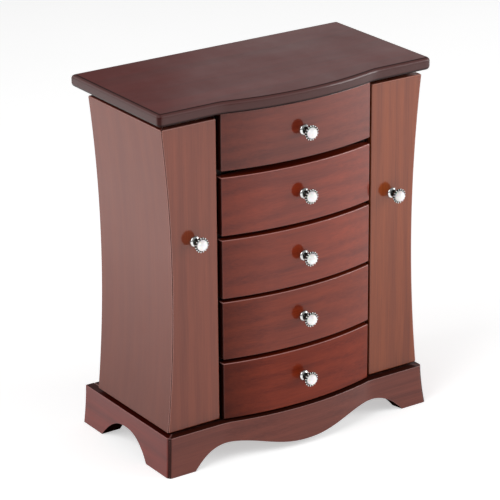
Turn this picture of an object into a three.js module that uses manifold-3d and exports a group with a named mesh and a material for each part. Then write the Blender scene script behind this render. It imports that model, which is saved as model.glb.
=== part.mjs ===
// Jewellery chest with a hinged lid, four bow-fronted drawers and two hollow side towers.
//
// The lid opens on a mirror and a lined tray behind a false drawer front. Each tower is closed by an L-shaped
// door, a front panel and a side panel in one, that swings out on two pivot pins near its rear edge and
// uncovers necklace hooks.
//
// Millimetres. X runs to the right, Y to the back and Z up. In the functions Y = 0 is the middle of the lid's
// straight sides; the exported group is moved so that its origin is the centre of the bounding box's base.

import * as THREE from 'three';
import { mergeVertices } from 'three/addons/utils/BufferGeometryUtils.js';
import Module from 'manifold-3d';

const wasm = await Module();
wasm.setup();

// ---------------------------------------------------------------- driving dimensions

const GAP = 0.3; // between pieces that touch

const LID_TOP = 390;
const LID_THICK = 13.5;
const LID_HALF = 167;
const LID_FRONT = -84.5;
const LID_BACK = 83;
const LID_BOW = 13;
const LID_ROUND = 2.5; // rounding of the lid's long edges
const LID_CORNER = 3.5; // rounding of its corners in plan

const BOW_RADIUS = 340; // the swell of lid, fronts and apron
const EASE_RADIUS = 60; // the hollow where the swell meets a straight run
const BOW_STEPS = 24;
const ROD_TURN = 14; // facets round a rod or a barrel

const BASE_TOP = 42.8;
const BASE_HALF = 162.4;
const BASE_FRONT = -83.8;
const BASE_BACK = 82;
const BASE_BOW = 12.2;
const BASE_THICK = 10;
const BASE_CORNER = 5;
const BASE_FLARE = 3.6; // how far the feet spread at the floor
const FLARE_POWER = 1.6;
const FOOT_INNER = 130; // front feet end here, either side of the middle
const ARCH_PEAK_X = 89;
const ARCH_PEAK = 21;
const ARCH_DROP = 6; // the apron's middle comes down to this height
const SIDE_ARCH_HALF = 44;
const SIDE_ARCH_PEAK = 25;
const SIDE_ARCH_Y = 1;
const BACK_ARCH_HALF = 118;
const ARCH_CURVE = { foot: 2.5, middle: 1.1, plain: 2.3 }; // exponents that shape the arches
const ARCH_STEPS = 16; // along one arch
const DECK_THICK = 6;

const DOOR_TOP = 372;
const DOOR_BOTTOM = 45.3;
const DOOR_FRONT = -76.7;
const DOOR_REAR = 62;
const DOOR_INNER = 95.7; // the door's free edge
const DOOR_THICK = 9;
const STILE_INNER = 136; // inner face of the straight stile that a door's pivots are bored into
const STILE_DEPTH = 14;
const WAIST_HALF = 150.4; // half-width of the chest at its waist
const WAIST_Z = 203;
const WAIST_RADIUS = 1450;

const WALL_INNER = 86;
const WALL_THICK = 8;
const WALL_FRONT = -69.7;
const CASE_BOTTOM = BASE_TOP + GAP;
const BACK_HALF = 136;
const BACK_FRONT = 66;
const BACK_THICK = 8;
const TOP_FRAME = [372.8, 376]; // heights of its two faces
const TOP_FRAME_HALF = 151;
const TOP_FRAME_FRONT = -66;
const TOP_OPENING = { half: 80, front: -62, back: 60 };
const SHELF_THICK = 3;
const SHELF_LIFT = 0.5; // above the drawer front below it

const FRONT_HALF = 92;
const FRONT_FLAT = -70; // the flat back of each front
const FRONT_APEX = -91.7;
const FRONTS = [[315.5, 375.9], [246.5, 309], [178.4, 242.1], [111.4, 174.8], [44.8, 107]]; // from the top
const BOX_HALF = 84.5;
const BOX_BACK = 60;
const BOX_WALL = 5;
const BOX_FLOOR = 4;
const BOX_LOWER = 9; // the box's rim lies this far under the top of its front
const BOX_DROP = 1.5; // and its floor this far under the front's lower edge
const BOX_CLEARANCE = 0.4; // above the shelf that it slides on

const KNOB_SIDE_X = 123;
const KNOB_SIDE_Z = 248;
const KNOB_PROFILE = [ // radius, distance from the front
  [0, 0.3], [5.4, 0.3], [5.4, 1.5], [3.4, 2.8], [2.5, 5], [3, 7.4], [6.4, 9.8], [8, 10.6], [8, 13],
  [6.7, 13.6], [6.4, 12.4], [0, 12.4],
];
const KNOB_TURN = 12;
const PEARL_RADIUS = 6;
const PEARL_START = 12.7;
const PEARL_LENGTH = 5.8;

const MIRROR = { half: 68, front: -49, back: 46 };
const MIRROR_BOTTOM = 376.9;
const MIRROR_RIM = 8;
const MIRROR_RIM_BOTTOM = 374.5;
const MIRROR_RECESS = 3;

const TRAY = { half: 84.7, front: -68.8, back: 64.5, top: 366 };
const TRAY_WALL = 2.5;
const RING_PAD_TOP = 350;
const DIVIDER_X = -8;
const DIVIDER_THICK = 2.5;
const DIVIDER_TOP = 356;

const LID_AXIS = { y: 76.9, z: 374.6 };
const HINGE_X = 88;
const HINGE_LENGTH = 32;
const HINGE_KNUCKLES = 3;
const BARREL_RADIUS = 2;
const BORE_RADIUS = 1.3;
const PIN_RADIUS = 1;
const PIN_HEAD = { radius: 1.7, rim: 0.7, height: 1 };
const LEAF_THICK = 0.9;
const LEAF_CLEAR = 1.7; // from the pin's axis to a leaf's near face
const LEAF_START = 1.6; // from the axis to its near edge
const LEAF_END = 12.4; // and to its far edge
const MORTISE = { front: 64, back: 79.8, depth: 1.1, room: 2 };
const PIVOT = { x: 147, y: 55 };
const PIVOT_RADIUS = 1.6;
const PIVOT_DEPTH = 12; // how far a pivot pin reaches into the door
const WASHER_RADIUS = 4.4;

const HOOK_COUNT = 5;
const HOOK_SPACING = 24;
const HOOK_Z = 358;
const HOOK_WIRE = 1.1;
const HOOK_STEPS = 6;
const HOOK_PATH = [[0.8, 2], [6, 1.5], [9, -2], [12, -4.5], [15.5, -2.5], [16.5, 2]]; // out from the wall, up
const HOOK_STRIP = { thick: 1.6, half: 5, end: 8 };

// ---------------------------------------------------------------- materials

const looks = {
  cherry: { color: 0x7a3a30, roughness: 0.38, metalness: 0 },
  inner: { color: 0x5a2b24, roughness: 0.6, metalness: 0 },
  felt: { color: 0xd9cdb8, roughness: 0.95, metalness: 0 },
  steel: { color: 0xc9c9c6, roughness: 0.2, metalness: 1 },
  pearl: { color: 0xf1efea, roughness: 0.18, metalness: 0 },
  brass: { color: 0xb99a5b, roughness: 0.3, metalness: 1 },
  mirror: { color: 0xdfe5e8, roughness: 0.03, metalness: 1 },
};

// ---------------------------------------------------------------- geometry helpers

/** Merges shared corners and turns every face outwards. */
function closed(geometry) {
  geometry.deleteAttribute('normal');
  geometry.deleteAttribute('uv');
  const merged = mergeVertices(geometry, 1e-4);
  const place = merged.attributes.position;
  const corners = [new THREE.Vector3(), new THREE.Vector3(), new THREE.Vector3()];
  let volume = 0;
  for (let k = 0; k < merged.index.count; k += 3) {
    corners.forEach((corner, n) => corner.fromBufferAttribute(place, merged.index.getX(k + n)));
    volume += corners[0].dot(corners[1].clone().cross(corners[2]));
  }
  if (volume < 0) merged.index.array.reverse();
  return merged;
}

function toManifold(geometry) {
  const merged = closed(geometry.clone());
  return new wasm.Manifold(new wasm.Mesh({
    numProp: 3,
    vertProperties: new Float32Array(merged.attributes.position.array),
    triVerts: new Uint32Array(merged.index.array),
  }));
}

function fromManifold(body) {
  const mesh = body.getMesh();
  const geometry = new THREE.BufferGeometry();
  geometry.setAttribute('position', new THREE.BufferAttribute(mesh.vertProperties, 3));
  geometry.setIndex(new THREE.BufferAttribute(mesh.triVerts, 1));
  return geometry;
}

const join = (...parts) => fromManifold(parts.map(toManifold).reduce((whole, part) => whole.add(part)));
const cut = (body, ...tools) => fromManifold(
  tools.map(toManifold).reduce((rest, tool) => rest.subtract(tool), toManifold(body)),
);

/** A rectangular block between three pairs of coordinates. */
function block([x0, x1], [y0, y1], [z0, z1]) {
  const box = new THREE.BoxGeometry(Math.abs(x1 - x0), y1 - y0, z1 - z0);
  return box.translate((x0 + x1) / 2, (y0 + y1) / 2, (z0 + z1) / 2);
}

/** A flat plan, pulled up between two heights. */
function plate(shape, [z0, z1]) {
  const options = { depth: z1 - z0, bevelEnabled: false, curveSegments: 6 };
  return new THREE.ExtrudeGeometry(shape, options).translate(0, 0, z0);
}

/** A rod along Z between two heights. */
function rod(radius, x, y, [z0, z1]) {
  const bar = new THREE.CylinderGeometry(radius, radius, z1 - z0, ROD_TURN).rotateX(Math.PI / 2);
  return bar.translate(x, y, (z0 + z1) / 2);
}

/** The solid between two surfaces, each a function of a station along it and a height share from 0 to 1. */
function slab(outer, inner, stations, rows) {
  const positions = [];
  const index = [];
  const columns = stations.length - 1;
  const grid = (surface) => {
    const first = positions.length / 3;
    for (let row = 0; row <= rows; row += 1) {
      stations.forEach((station) => positions.push(...surface(station, row / rows)));
    }
    return (i, j) => first + j * stations.length + i;
  };
  const a = grid(outer);
  const b = grid(inner);
  const quad = (p, q, r, s) => index.push(p, q, r, p, r, s);
  for (let i = 0; i < columns; i += 1) {
    for (let j = 0; j < rows; j += 1) {
      quad(a(i, j), a(i + 1, j), a(i + 1, j + 1), a(i, j + 1));
      quad(b(i, j), b(i, j + 1), b(i + 1, j + 1), b(i + 1, j));
    }
    quad(a(i, 0), b(i, 0), b(i + 1, 0), a(i + 1, 0));
    quad(a(i, rows), a(i + 1, rows), b(i + 1, rows), b(i, rows));
  }
  for (let j = 0; j < rows; j += 1) {
    quad(a(0, j), a(0, j + 1), b(0, j + 1), b(0, j));
    quad(a(columns, j), b(columns, j), b(columns, j + 1), a(columns, j + 1));
  }
  const geometry = new THREE.BufferGeometry();
  geometry.setAttribute('position', new THREE.Float32BufferAttribute(positions, 3));
  geometry.setIndex(index);
  return geometry;
}

/** Evenly spaced numbers from start to end. */
function spaced(start, end, steps) {
  return Array.from({ length: steps + 1 }, (_, k) => start + ((end - start) * k) / steps);
}

/** How far a bowed edge stands forward of its straight ends: a swell that eases into them. */
function bow(x, depth) {
  const reach = BOW_RADIUS + EASE_RADIUS;
  const easeEnd = Math.sqrt(2 * reach * depth - depth * depth);
  const easeStart = (easeEnd * BOW_RADIUS) / reach;
  const side = Math.abs(x);
  if (side >= easeEnd) return 0;
  if (side > easeStart) return EASE_RADIUS - Math.sqrt(EASE_RADIUS ** 2 - (easeEnd - side) ** 2);
  return depth - BOW_RADIUS + Math.sqrt(BOW_RADIUS ** 2 - side ** 2);
}

// ---------------------------------------------------------------- base

const flare = (z) => BASE_FLARE * (1 - z / BASE_TOP) ** FLARE_POWER;
const heightFrom = (lower, share) => lower + (BASE_TOP - lower) * share;

/** Presses the stretch from start to end together, so that it ends at newEnd. */
const press = (v, start, end, newEnd) => (
  v <= start ? v : start + ((v - start) * (newEnd - start)) / (end - start)
);

/** Lower edge of the front apron: feet, two arches and a drop in the middle. */
function frontArch(x) {
  const side = Math.abs(x);
  if (side >= FOOT_INNER) return 0;
  if (side >= ARCH_PEAK_X) {
    const share = (side - ARCH_PEAK_X) / (FOOT_INNER - ARCH_PEAK_X);
    return ARCH_PEAK * (1 - share ** ARCH_CURVE.foot);
  }
  const share = (side / ARCH_PEAK_X) ** ARCH_CURVE.middle;
  return ARCH_PEAK - ((ARCH_PEAK - ARCH_DROP) * (1 + Math.cos(Math.PI * share))) / 2;
}

/** Lower edge of the side and back boards: one arch between two feet. */
function plainArch(along, middle, half, peak) {
  const share = Math.abs(along - middle) / half;
  return share >= 1 ? 0 : peak * (1 - share ** ARCH_CURVE.plain);
}

const CORNER_START = BASE_HALF - BASE_CORNER; // where the front's straight run meets the corner
const CORNER_SWEEP = (BASE_CORNER * Math.PI) / 4; // each board takes half of the rounded corner
const INNER_HALF = BASE_HALF - BASE_THICK;
const INNER_FRONT = BASE_FRONT + BASE_THICK;

/** The front apron, bowed, flared, and mitred into the side boards at its rounded corners. */
function baseFront() {
  const end = CORNER_START + CORNER_SWEEP;
  const edge = [CORNER_START, CORNER_START + CORNER_SWEEP / 2, end];
  const stations = [
    ...edge.map((u) => -u).reverse(),
    ...spaced(-FOOT_INNER, FOOT_INNER, 2 * ARCH_STEPS),
    ...edge,
  ];
  const outer = (u, share) => {
    const side = Math.min(Math.abs(u), CORNER_START);
    const z = heightFrom(frontArch(side), share);
    const turn = (Math.abs(u) - side) / BASE_CORNER;
    const x = (side * (CORNER_START + flare(z))) / CORNER_START + BASE_CORNER * Math.sin(turn);
    const y = BASE_FRONT - flare(z) - bow(side, BASE_BOW) + BASE_CORNER * (1 - Math.cos(turn));
    return [Math.sign(u) * x, y, z];
  };
  const inner = (u, share) => {
    const x = Math.sign(u) * press(Math.abs(u), FOOT_INNER, end, INNER_HALF);
    return [x, INNER_FRONT - bow(x, BASE_BOW), heightFrom(frontArch(u), share)];
  };
  return slab(outer, inner, stations, 3);
}

/** A side board, from its mitre at the front to the back of the chest. */
function baseSide(side) {
  const start = BASE_FRONT + BASE_CORNER + GAP;
  const first = SIDE_ARCH_Y - SIDE_ARCH_HALF;
  const last = SIDE_ARCH_Y + SIDE_ARCH_HALF;
  const corner = [start - CORNER_SWEEP, start - CORNER_SWEEP / 2, start];
  const stations = [...corner, ...spaced(first, last, ARCH_STEPS), BASE_BACK];
  const innerStart = INNER_FRONT + GAP;
  const arch = (v) => plainArch(v, SIDE_ARCH_Y, SIDE_ARCH_HALF, SIDE_ARCH_PEAK);
  const outer = (v, share) => {
    const along = Math.max(v, start);
    const z = heightFrom(arch(along), share);
    const turn = (along - v) / BASE_CORNER;
    const x = BASE_HALF + flare(z) - BASE_CORNER * (1 - Math.cos(turn));
    const spread = v <= start ? flare(z) : 0;
    return [side * x, along - spread - BASE_CORNER * Math.sin(turn), z];
  };
  const inner = (v, share) => {
    const along = -press(-v, -first, -stations[0], -innerStart);
    return [side * INNER_HALF, along, heightFrom(arch(v), share)];
  };
  return slab(outer, inner, stations, 3);
}

/** The back board, set between the side boards. */
function baseBack() {
  const half = INNER_HALF - GAP;
  const arch = (x) => plainArch(x, 0, BACK_ARCH_HALF, SIDE_ARCH_PEAK);
  const stations = [-half, ...spaced(-BACK_ARCH_HALF, BACK_ARCH_HALF, ARCH_STEPS), half];
  const outer = (x, share) => [x, BASE_BACK, heightFrom(arch(x), share)];
  const inner = (x, share) => [x, BASE_BACK - BASE_THICK, heightFrom(arch(x), share)];
  return slab(outer, inner, stations, 1);
}

/** A flat plan with a bowed front edge. */
function bowedPlan(half, front, back, depth) {
  const edge = spaced(-half, half, BOW_STEPS * 2).map((x) => new THREE.Vector2(x, front - bow(x, depth)));
  return new THREE.Shape([...edge, new THREE.Vector2(half, back), new THREE.Vector2(-half, back)]);
}

/** Round holes for the doors' pivot pins, to be cut from a plan. */
function pivotHoles() {
  return [-1, 1].map((side) => {
    const hole = new THREE.Path();
    hole.absarc(side * PIVOT.x, PIVOT.y, PIVOT_RADIUS + GAP, 0, Math.PI * 2, true);
    return hole;
  });
}

function baseBoard() {
  const plan = bowedPlan(INNER_HALF - GAP, INNER_FRONT + GAP, BASE_BACK - BASE_THICK - GAP, BASE_BOW);
  plan.holes.push(...pivotHoles());
  return plate(plan, [BASE_TOP - DECK_THICK, BASE_TOP]);
}

// ---------------------------------------------------------------- case

const CASE_TOP = TOP_FRAME[0] - GAP;

function caseWall(side) {
  const faces = [side * WALL_INNER, side * (WALL_INNER + WALL_THICK)];
  return block(faces, [WALL_FRONT, BACK_FRONT - GAP], [CASE_BOTTOM, CASE_TOP]);
}

function caseBack() {
  return block([-BACK_HALF, BACK_HALF], [BACK_FRONT, BACK_FRONT + BACK_THICK], [CASE_BOTTOM, CASE_TOP]);
}

/** The frame that the lid closes on, with a tongue forward to the false front and the opening to the tray. */
function caseTopFrame() {
  const back = BACK_FRONT + BACK_THICK;
  const tongue = WALL_INNER + WALL_THICK;
  const plan = new THREE.Shape([
    [-TOP_FRAME_HALF, TOP_FRAME_FRONT], [-tongue, TOP_FRAME_FRONT], [-tongue, WALL_FRONT],
    [tongue, WALL_FRONT], [tongue, TOP_FRAME_FRONT], [TOP_FRAME_HALF, TOP_FRAME_FRONT],
    [TOP_FRAME_HALF, back], [-TOP_FRAME_HALF, back],
  ].map(([x, y]) => new THREE.Vector2(x, y)));
  const { half, front, back: rear } = TOP_OPENING;
  plan.holes.push(new THREE.Path([
    [-half, front], [-half, rear], [half, rear], [half, front],
  ].map(([x, y]) => new THREE.Vector2(x, y))), ...pivotHoles());
  return plate(plan, TOP_FRAME);
}

/** The board between two fronts; it lies just above the drawer front below it. */
function shelf([, topBelow]) {
  const z0 = topBelow + SHELF_LIFT;
  const half = WALL_INNER - GAP;
  return block([-half, half], [WALL_FRONT + SHELF_LIFT, BACK_FRONT - GAP], [z0, z0 + SHELF_THICK]);
}

/** A bow-fronted board with a flat back. */
function bowFront(heights) {
  const rise = (x) => FRONT_APEX + BOW_RADIUS - Math.sqrt(BOW_RADIUS ** 2 - x * x);
  const edge = spaced(-FRONT_HALF, FRONT_HALF, BOW_STEPS).map((x) => new THREE.Vector2(x, rise(x)));
  const flat = [new THREE.Vector2(FRONT_HALF, FRONT_FLAT), new THREE.Vector2(-FRONT_HALF, FRONT_FLAT)];
  return plate(new THREE.Shape([...edge, ...flat]), heights);
}

/** An open box, walls all round and a floor. */
function openBox([x0, x1], [y0, y1], [z0, z1], wall, floor) {
  const hollow = block([x0 + wall, x1 - wall], [y0 + wall, y1 - wall], [z0 + floor, z1 + 1]);
  return cut(block([x0, x1], [y0, y1], [z0, z1]), hollow);
}

function drawerBox([bottom, top], supportTop) {
  const heights = [Math.max(supportTop + BOX_CLEARANCE, bottom - BOX_DROP), top - BOX_LOWER];
  return openBox([-BOX_HALF, BOX_HALF], [FRONT_FLAT + GAP, BOX_BACK], heights, BOX_WALL, BOX_FLOOR);
}

// ---------------------------------------------------------------- tray under the lid

const TRAY_FLOOR = FRONTS[1][1] + SHELF_LIFT + SHELF_THICK + GAP;
const TRAY_INSIDE = TRAY_FLOOR + TRAY_WALL + GAP;

function topTray() {
  const { half, front, back, top } = TRAY;
  return openBox([-half, half], [front, back], [TRAY_FLOOR, top], TRAY_WALL, TRAY_WALL);
}

/** The padded block of ring rolls, in the left part of the tray. */
function ringPad() {
  const room = TRAY_WALL + 2 * GAP;
  const { half, front, back } = TRAY;
  return block([room - half, DIVIDER_X - 2 * GAP], [front + room, back - room], [TRAY_INSIDE, RING_PAD_TOP]);
}

/** A T-shaped divider: one wall along the ring pad and one across the open bins. */
function trayDivider() {
  const room = TRAY_WALL + GAP;
  const x1 = DIVIDER_X + DIVIDER_THICK;
  const y0 = TRAY.front + room;
  const y1 = TRAY.back - room;
  const mid = (y0 + y1) / 2;
  const far = TRAY.half - room;
  const outline = [
    [DIVIDER_X, y0], [x1, y0], [x1, mid - DIVIDER_THICK], [far, mid - DIVIDER_THICK],
    [far, mid], [x1, mid], [x1, y1], [DIVIDER_X, y1],
  ];
  const plan = new THREE.Shape(outline.map(([x, y]) => new THREE.Vector2(x, y)));
  return plate(plan, [TRAY_INSIDE, DIVIDER_TOP]);
}

// ---------------------------------------------------------------- lid

/** The lid's plan: bowed front, straight sides and back, rounded corners. */
function lidPlan() {
  const inset = LID_HALF - LID_CORNER;
  const shape = new THREE.Shape();
  shape.moveTo(-inset, LID_FRONT);
  spaced(-inset, inset, BOW_STEPS * 2).slice(1).forEach((x) => shape.lineTo(x, LID_FRONT - bow(x, LID_BOW)));
  shape.absarc(inset, LID_FRONT + LID_CORNER, LID_CORNER, -Math.PI / 2, 0);
  shape.absarc(inset, LID_BACK - LID_CORNER, LID_CORNER, 0, Math.PI / 2);
  shape.absarc(-inset, LID_BACK - LID_CORNER, LID_CORNER, Math.PI / 2, Math.PI);
  shape.absarc(-inset, LID_FRONT + LID_CORNER, LID_CORNER, Math.PI, Math.PI * 1.5);
  return shape;
}

const LID_BOTTOM = LID_TOP - LID_THICK;

/** The lid board, edges rounded, with its mirror recess and the mortises of its two hinges. */
function lidPanel() {
  const board = new THREE.ExtrudeGeometry(lidPlan(), {
    depth: LID_THICK - 2 * LID_ROUND,
    curveSegments: 3,
    bevelSize: LID_ROUND,
    bevelOffset: -LID_ROUND,
    bevelThickness: LID_ROUND,
    bevelSegments: 2,
  }).translate(0, 0, LID_BOTTOM + LID_ROUND);
  const rim = MIRROR_RIM + GAP;
  const recess = block(
    [-MIRROR.half - rim, MIRROR.half + rim],
    [MIRROR.front - rim, MIRROR.back + rim],
    [LID_BOTTOM - 1, LID_BOTTOM + MIRROR_RECESS],
  );
  const mortises = [-1, 1].map((side) => {
    const reach = HINGE_LENGTH / 2 + MORTISE.room;
    const middle = side * HINGE_X;
    return block(
      [middle - reach, middle + reach],
      [MORTISE.front, MORTISE.back],
      [LID_BOTTOM - 1, LID_BOTTOM + MORTISE.depth],
    );
  });
  return cut(board, recess, ...mortises);
}

function mirror() {
  const { half, front, back } = MIRROR;
  return block([-half, half], [front, back], [MIRROR_BOTTOM, LID_BOTTOM + MIRROR_RECESS - GAP]);
}

/** The moulding that holds the mirror in its recess. */
function mirrorFrame() {
  const { half, front, back } = MIRROR;
  const heights = [MIRROR_RIM_BOTTOM, LID_BOTTOM + MIRROR_RECESS - GAP];
  const rim = block(
    [-half - MIRROR_RIM, half + MIRROR_RIM],
    [front - MIRROR_RIM, back + MIRROR_RIM],
    heights,
  );
  const light = block(
    [-half - GAP, half + GAP],
    [front - GAP, back + GAP],
    [heights[0] - 1, heights[1] + 1],
  );
  return cut(rim, light);
}

// ---------------------------------------------------------------- doors

/** Half-width of the hourglass-shaped towers at height z. */
const towerHalf = (z) => WAIST_HALF + (z - WAIST_Z) ** 2 / (2 * WAIST_RADIUS);
const doorHeight = (share) => DOOR_BOTTOM + (DOOR_TOP - DOOR_BOTTOM) * share;
const DOOR_ROWS = 16;

/** A door's front panel: straight free edge, curved outer edge mitred to the side panel. */
function doorFront(side) {
  const surface = (y, inset) => (s, share) => {
    const z = doorHeight(share);
    return [side * (DOOR_INNER + (towerHalf(z) - inset - GAP - DOOR_INNER) * s), y, z];
  };
  return slab(surface(DOOR_FRONT, 0), surface(DOOR_FRONT + DOOR_THICK, DOOR_THICK), [0, 1], DOOR_ROWS);
}

/** A door's side panel, curved like an hourglass, with a straight rear stile bored for the pivot pins. */
function doorSide(side) {
  const surface = (inset) => (s, share) => {
    const z = doorHeight(share);
    const y0 = DOOR_FRONT + inset + GAP / 2;
    return [side * (towerHalf(z) - inset), y0 + (DOOR_REAR - y0) * s, z];
  };
  const middle = DOOR_THICK / 2;
  const stile = (y) => (s, share) => {
    const z = doorHeight(share);
    return [side * (STILE_INNER + (towerHalf(z) - middle - STILE_INNER) * s), y, z];
  };
  const panel = join(
    slab(surface(0), surface(DOOR_THICK), [0, 1], DOOR_ROWS),
    slab(stile(DOOR_REAR - STILE_DEPTH), stile(DOOR_REAR), [0, 1], DOOR_ROWS),
  );
  const bore = (heights) => rod(PIVOT_RADIUS + GAP, side * PIVOT.x, PIVOT.y, heights);
  return cut(
    panel,
    bore([DOOR_BOTTOM - 1, DOOR_BOTTOM + PIVOT_DEPTH + 1]),
    bore([DOOR_TOP - PIVOT_DEPTH - 1, DOOR_TOP + 1]),
  );
}

/** A dowel pin that a door turns on. */
function pivotPin(side, heights) {
  return rod(PIVOT_RADIUS, side * PIVOT.x, PIVOT.y, heights);
}

/** The washer that a door stands on. */
function washer(side) {
  const ring = new THREE.Shape();
  ring.absarc(side * PIVOT.x, PIVOT.y, WASHER_RADIUS, 0, Math.PI * 2);
  const hole = new THREE.Path();
  hole.absarc(side * PIVOT.x, PIVOT.y, PIVOT_RADIUS + GAP, 0, Math.PI * 2, true);
  ring.holes.push(hole);
  return plate(ring, [BASE_TOP + GAP, DOOR_BOTTOM - GAP]);
}

// ---------------------------------------------------------------- hinges

/** The stretches of one leaf's knuckles, every second one of the barrel, with room to turn between them. */
function knuckles(parity) {
  const pitch = HINGE_LENGTH / HINGE_KNUCKLES;
  return spaced(0, HINGE_KNUCKLES - 1, HINGE_KNUCKLES - 1).filter((k) => k % 2 === parity).map((k) => {
    const z0 = k * pitch - HINGE_LENGTH / 2;
    return [z0 + GAP / 2, z0 + pitch - GAP / 2];
  });
}

/** One hinge leaf round a barrel along Z: its plate, its knuckles and their necks, bored for the pin. */
function leaf(parity, plateX, plateY, neckX, neckY) {
  const spans = knuckles(parity);
  const ends = [-HINGE_LENGTH / 2, HINGE_LENGTH / 2];
  const body = join(
    block(plateX, plateY, ends),
    ...spans.map((span) => rod(BARREL_RADIUS, 0, 0, span)),
    ...spans.map((span) => block(neckX, neckY, span)),
  );
  return cut(body, rod(BORE_RADIUS, 0, 0, [ends[0] - 1, ends[1] + 1]));
}

/** A hinge pin along Z with a button head at each end. */
function pin() {
  const end = HINGE_LENGTH / 2 + GAP;
  const { radius, rim, height } = PIN_HEAD;
  const half = [[PIN_RADIUS, end], [radius, end], [radius, end + rim], [0, end + height]];
  const profile = [...half.map(([r, z]) => [r, -z]).reverse(), ...half];
  return new THREE.LatheGeometry(profile.map(([r, z]) => new THREE.Vector2(r, z)), ROD_TURN)
    .rotateX(Math.PI / 2);
}

// ---------------------------------------------------------------- knobs and hooks

function knob() {
  return new THREE.LatheGeometry(KNOB_PROFILE.map(([r, y]) => new THREE.Vector2(r, y)), KNOB_TURN);
}

/** A domed pearl, flat where it is set in the knob's cup. */
function pearl() {
  const dome = spaced(0, Math.PI / 2, 5).map((turn) => new THREE.Vector2(
    PEARL_RADIUS * Math.cos(turn),
    PEARL_START + PEARL_LENGTH * Math.sin(turn),
  ));
  dome[5].x = 0;
  return new THREE.LatheGeometry([new THREE.Vector2(0, PEARL_START), ...dome], KNOB_TURN);
}

/** A metal strip with J-shaped hooks on its outer side, for one tower. */
function hookStrip(side) {
  const wall = WALL_INNER + WALL_THICK + GAP;
  const reach = ((HOOK_COUNT - 1) * HOOK_SPACING) / 2;
  const { thick, half, end } = HOOK_STRIP;
  const strip = block(
    [side * wall, side * (wall + thick)],
    [-reach - end, reach + end],
    [HOOK_Z - half, HOOK_Z + half],
  );
  const ring = new THREE.Shape();
  ring.absarc(0, 0, HOOK_WIRE, 0, Math.PI * 2);
  const hooks = spaced(-reach, reach, HOOK_COUNT - 1).map((y) => {
    const points = HOOK_PATH.map(([out, up]) => new THREE.Vector3(side * (wall + out), y, HOOK_Z + up));
    const extrudePath = new THREE.CatmullRomCurve3(points);
    return new THREE.ExtrudeGeometry(ring, { steps: HOOK_STEPS, curveSegments: 2, extrudePath });
  });
  return join(strip, ...hooks);
}

// ---------------------------------------------------------------- assembly

const chest = new THREE.Group();

function add(name, geometry, look, { position = [0, 0, 0], rotation = [0, 0, 0] } = {}) {
  const shape = closed(geometry);
  shape.computeVertexNormals();
  const mesh = new THREE.Mesh(shape, new THREE.MeshStandardMaterial(look));
  mesh.name = name;
  mesh.position.set(...position);
  mesh.rotation.set(...rotation);
  chest.add(mesh);
}

const SIDES = [['left', -1], ['right', 1]];

function addKnob(name, x, y, z) {
  const place = { position: [x, y, z], rotation: [Math.PI, 0, 0] };
  add(`knob_${name}`, knob(), looks.steel, place);
  add(`pearl_${name}`, pearl(), looks.pearl, place);
}

function addBase() {
  add('base_front', baseFront(), looks.cherry);
  SIDES.forEach(([name, side]) => add(`base_${name}`, baseSide(side), looks.cherry));
  add('base_back', baseBack(), looks.cherry);
  add('base_board', baseBoard(), looks.inner);
}

function addCase() {
  SIDES.forEach(([name, side]) => add(`case_${name}_wall`, caseWall(side), looks.inner));
  add('case_back', caseBack(), looks.cherry);
  add('case_top_frame', caseTopFrame(), looks.cherry);
  FRONTS.slice(1).forEach((heights, k) => add(`shelf_${k + 1}`, shelf(heights), looks.inner));
  add('top_false_front', bowFront(FRONTS[0]), looks.cherry);
  addKnob('top_front', 0, FRONT_APEX, (FRONTS[0][0] + FRONTS[0][1]) / 2);
  SIDES.forEach(([name, side]) => add(`necklace_hooks_${name}`, hookStrip(side), looks.brass));
}

function addTray() {
  add('top_tray', topTray(), looks.felt);
  add('ring_pad', ringPad(), looks.felt);
  add('tray_divider', trayDivider(), looks.felt);
}

function addLid() {
  add('lid_panel', lidPanel(), looks.cherry);
  add('mirror_frame', mirrorFrame(), looks.cherry);
  add('mirror', mirror(), looks.mirror);
}

/** The lid's hinges: the barrel lies along X, the leaf's own X points down and its own Y to the front. */
function addLidHinges() {
  const near = [LEAF_CLEAR, LEAF_CLEAR + LEAF_THICK];
  const above = [-near[1], -near[0]];
  const span = [LEAF_START, LEAF_END];
  const neck = [0, LEAF_START + 0.1];
  SIDES.forEach(([name, side]) => {
    const place = {
      position: [side * HINGE_X, LID_AXIS.y, LID_AXIS.z],
      rotation: [Math.PI, -Math.PI / 2, 0],
    };
    add(`lid_hinge_${name}_case_leaf`, leaf(0, span, near, neck, near), looks.brass, place);
    add(`lid_hinge_${name}_lid_leaf`, leaf(1, above, span, above, neck), looks.brass, place);
    add(`lid_hinge_${name}_pin`, pin(), looks.brass, place);
  });
}

function addDoors() {
  SIDES.forEach(([name, side]) => {
    add(`${name}_door_front`, doorFront(side), looks.cherry);
    add(`${name}_door_side`, doorSide(side), looks.cherry);
    addKnob(`${name}_door`, side * KNOB_SIDE_X, DOOR_FRONT, KNOB_SIDE_Z);
    const top = [DOOR_TOP - PIVOT_DEPTH, TOP_FRAME[1] - GAP];
    const bottom = [BASE_TOP - DECK_THICK + GAP, DOOR_BOTTOM + PIVOT_DEPTH];
    add(`${name}_door_top_pin`, pivotPin(side, top), looks.brass);
    add(`${name}_door_bottom_pin`, pivotPin(side, bottom), looks.brass);
    add(`${name}_door_washer`, washer(side), looks.brass);
  });
}

function addDrawers() {
  FRONTS.slice(1).forEach((heights, k) => {
    const number = k + 1;
    const below = FRONTS[k + 2];
    const supportTop = below ? below[1] + SHELF_LIFT + SHELF_THICK : BASE_TOP;
    add(`drawer_${number}_front`, bowFront(heights), looks.cherry);
    add(`drawer_${number}_box`, drawerBox(heights, supportTop), looks.inner);
    addKnob(`drawer_${number}`, 0, FRONT_APEX, (heights[0] + heights[1]) / 2);
  });
}

addBase();
addCase();
addTray();
addLid();
addLidHinges();
addDoors();
addDrawers();

const foremost = FRONT_APEX - PEARL_START - PEARL_LENGTH;
chest.position.y = -(foremost + LID_BACK) / 2;

export default chest;
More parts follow.
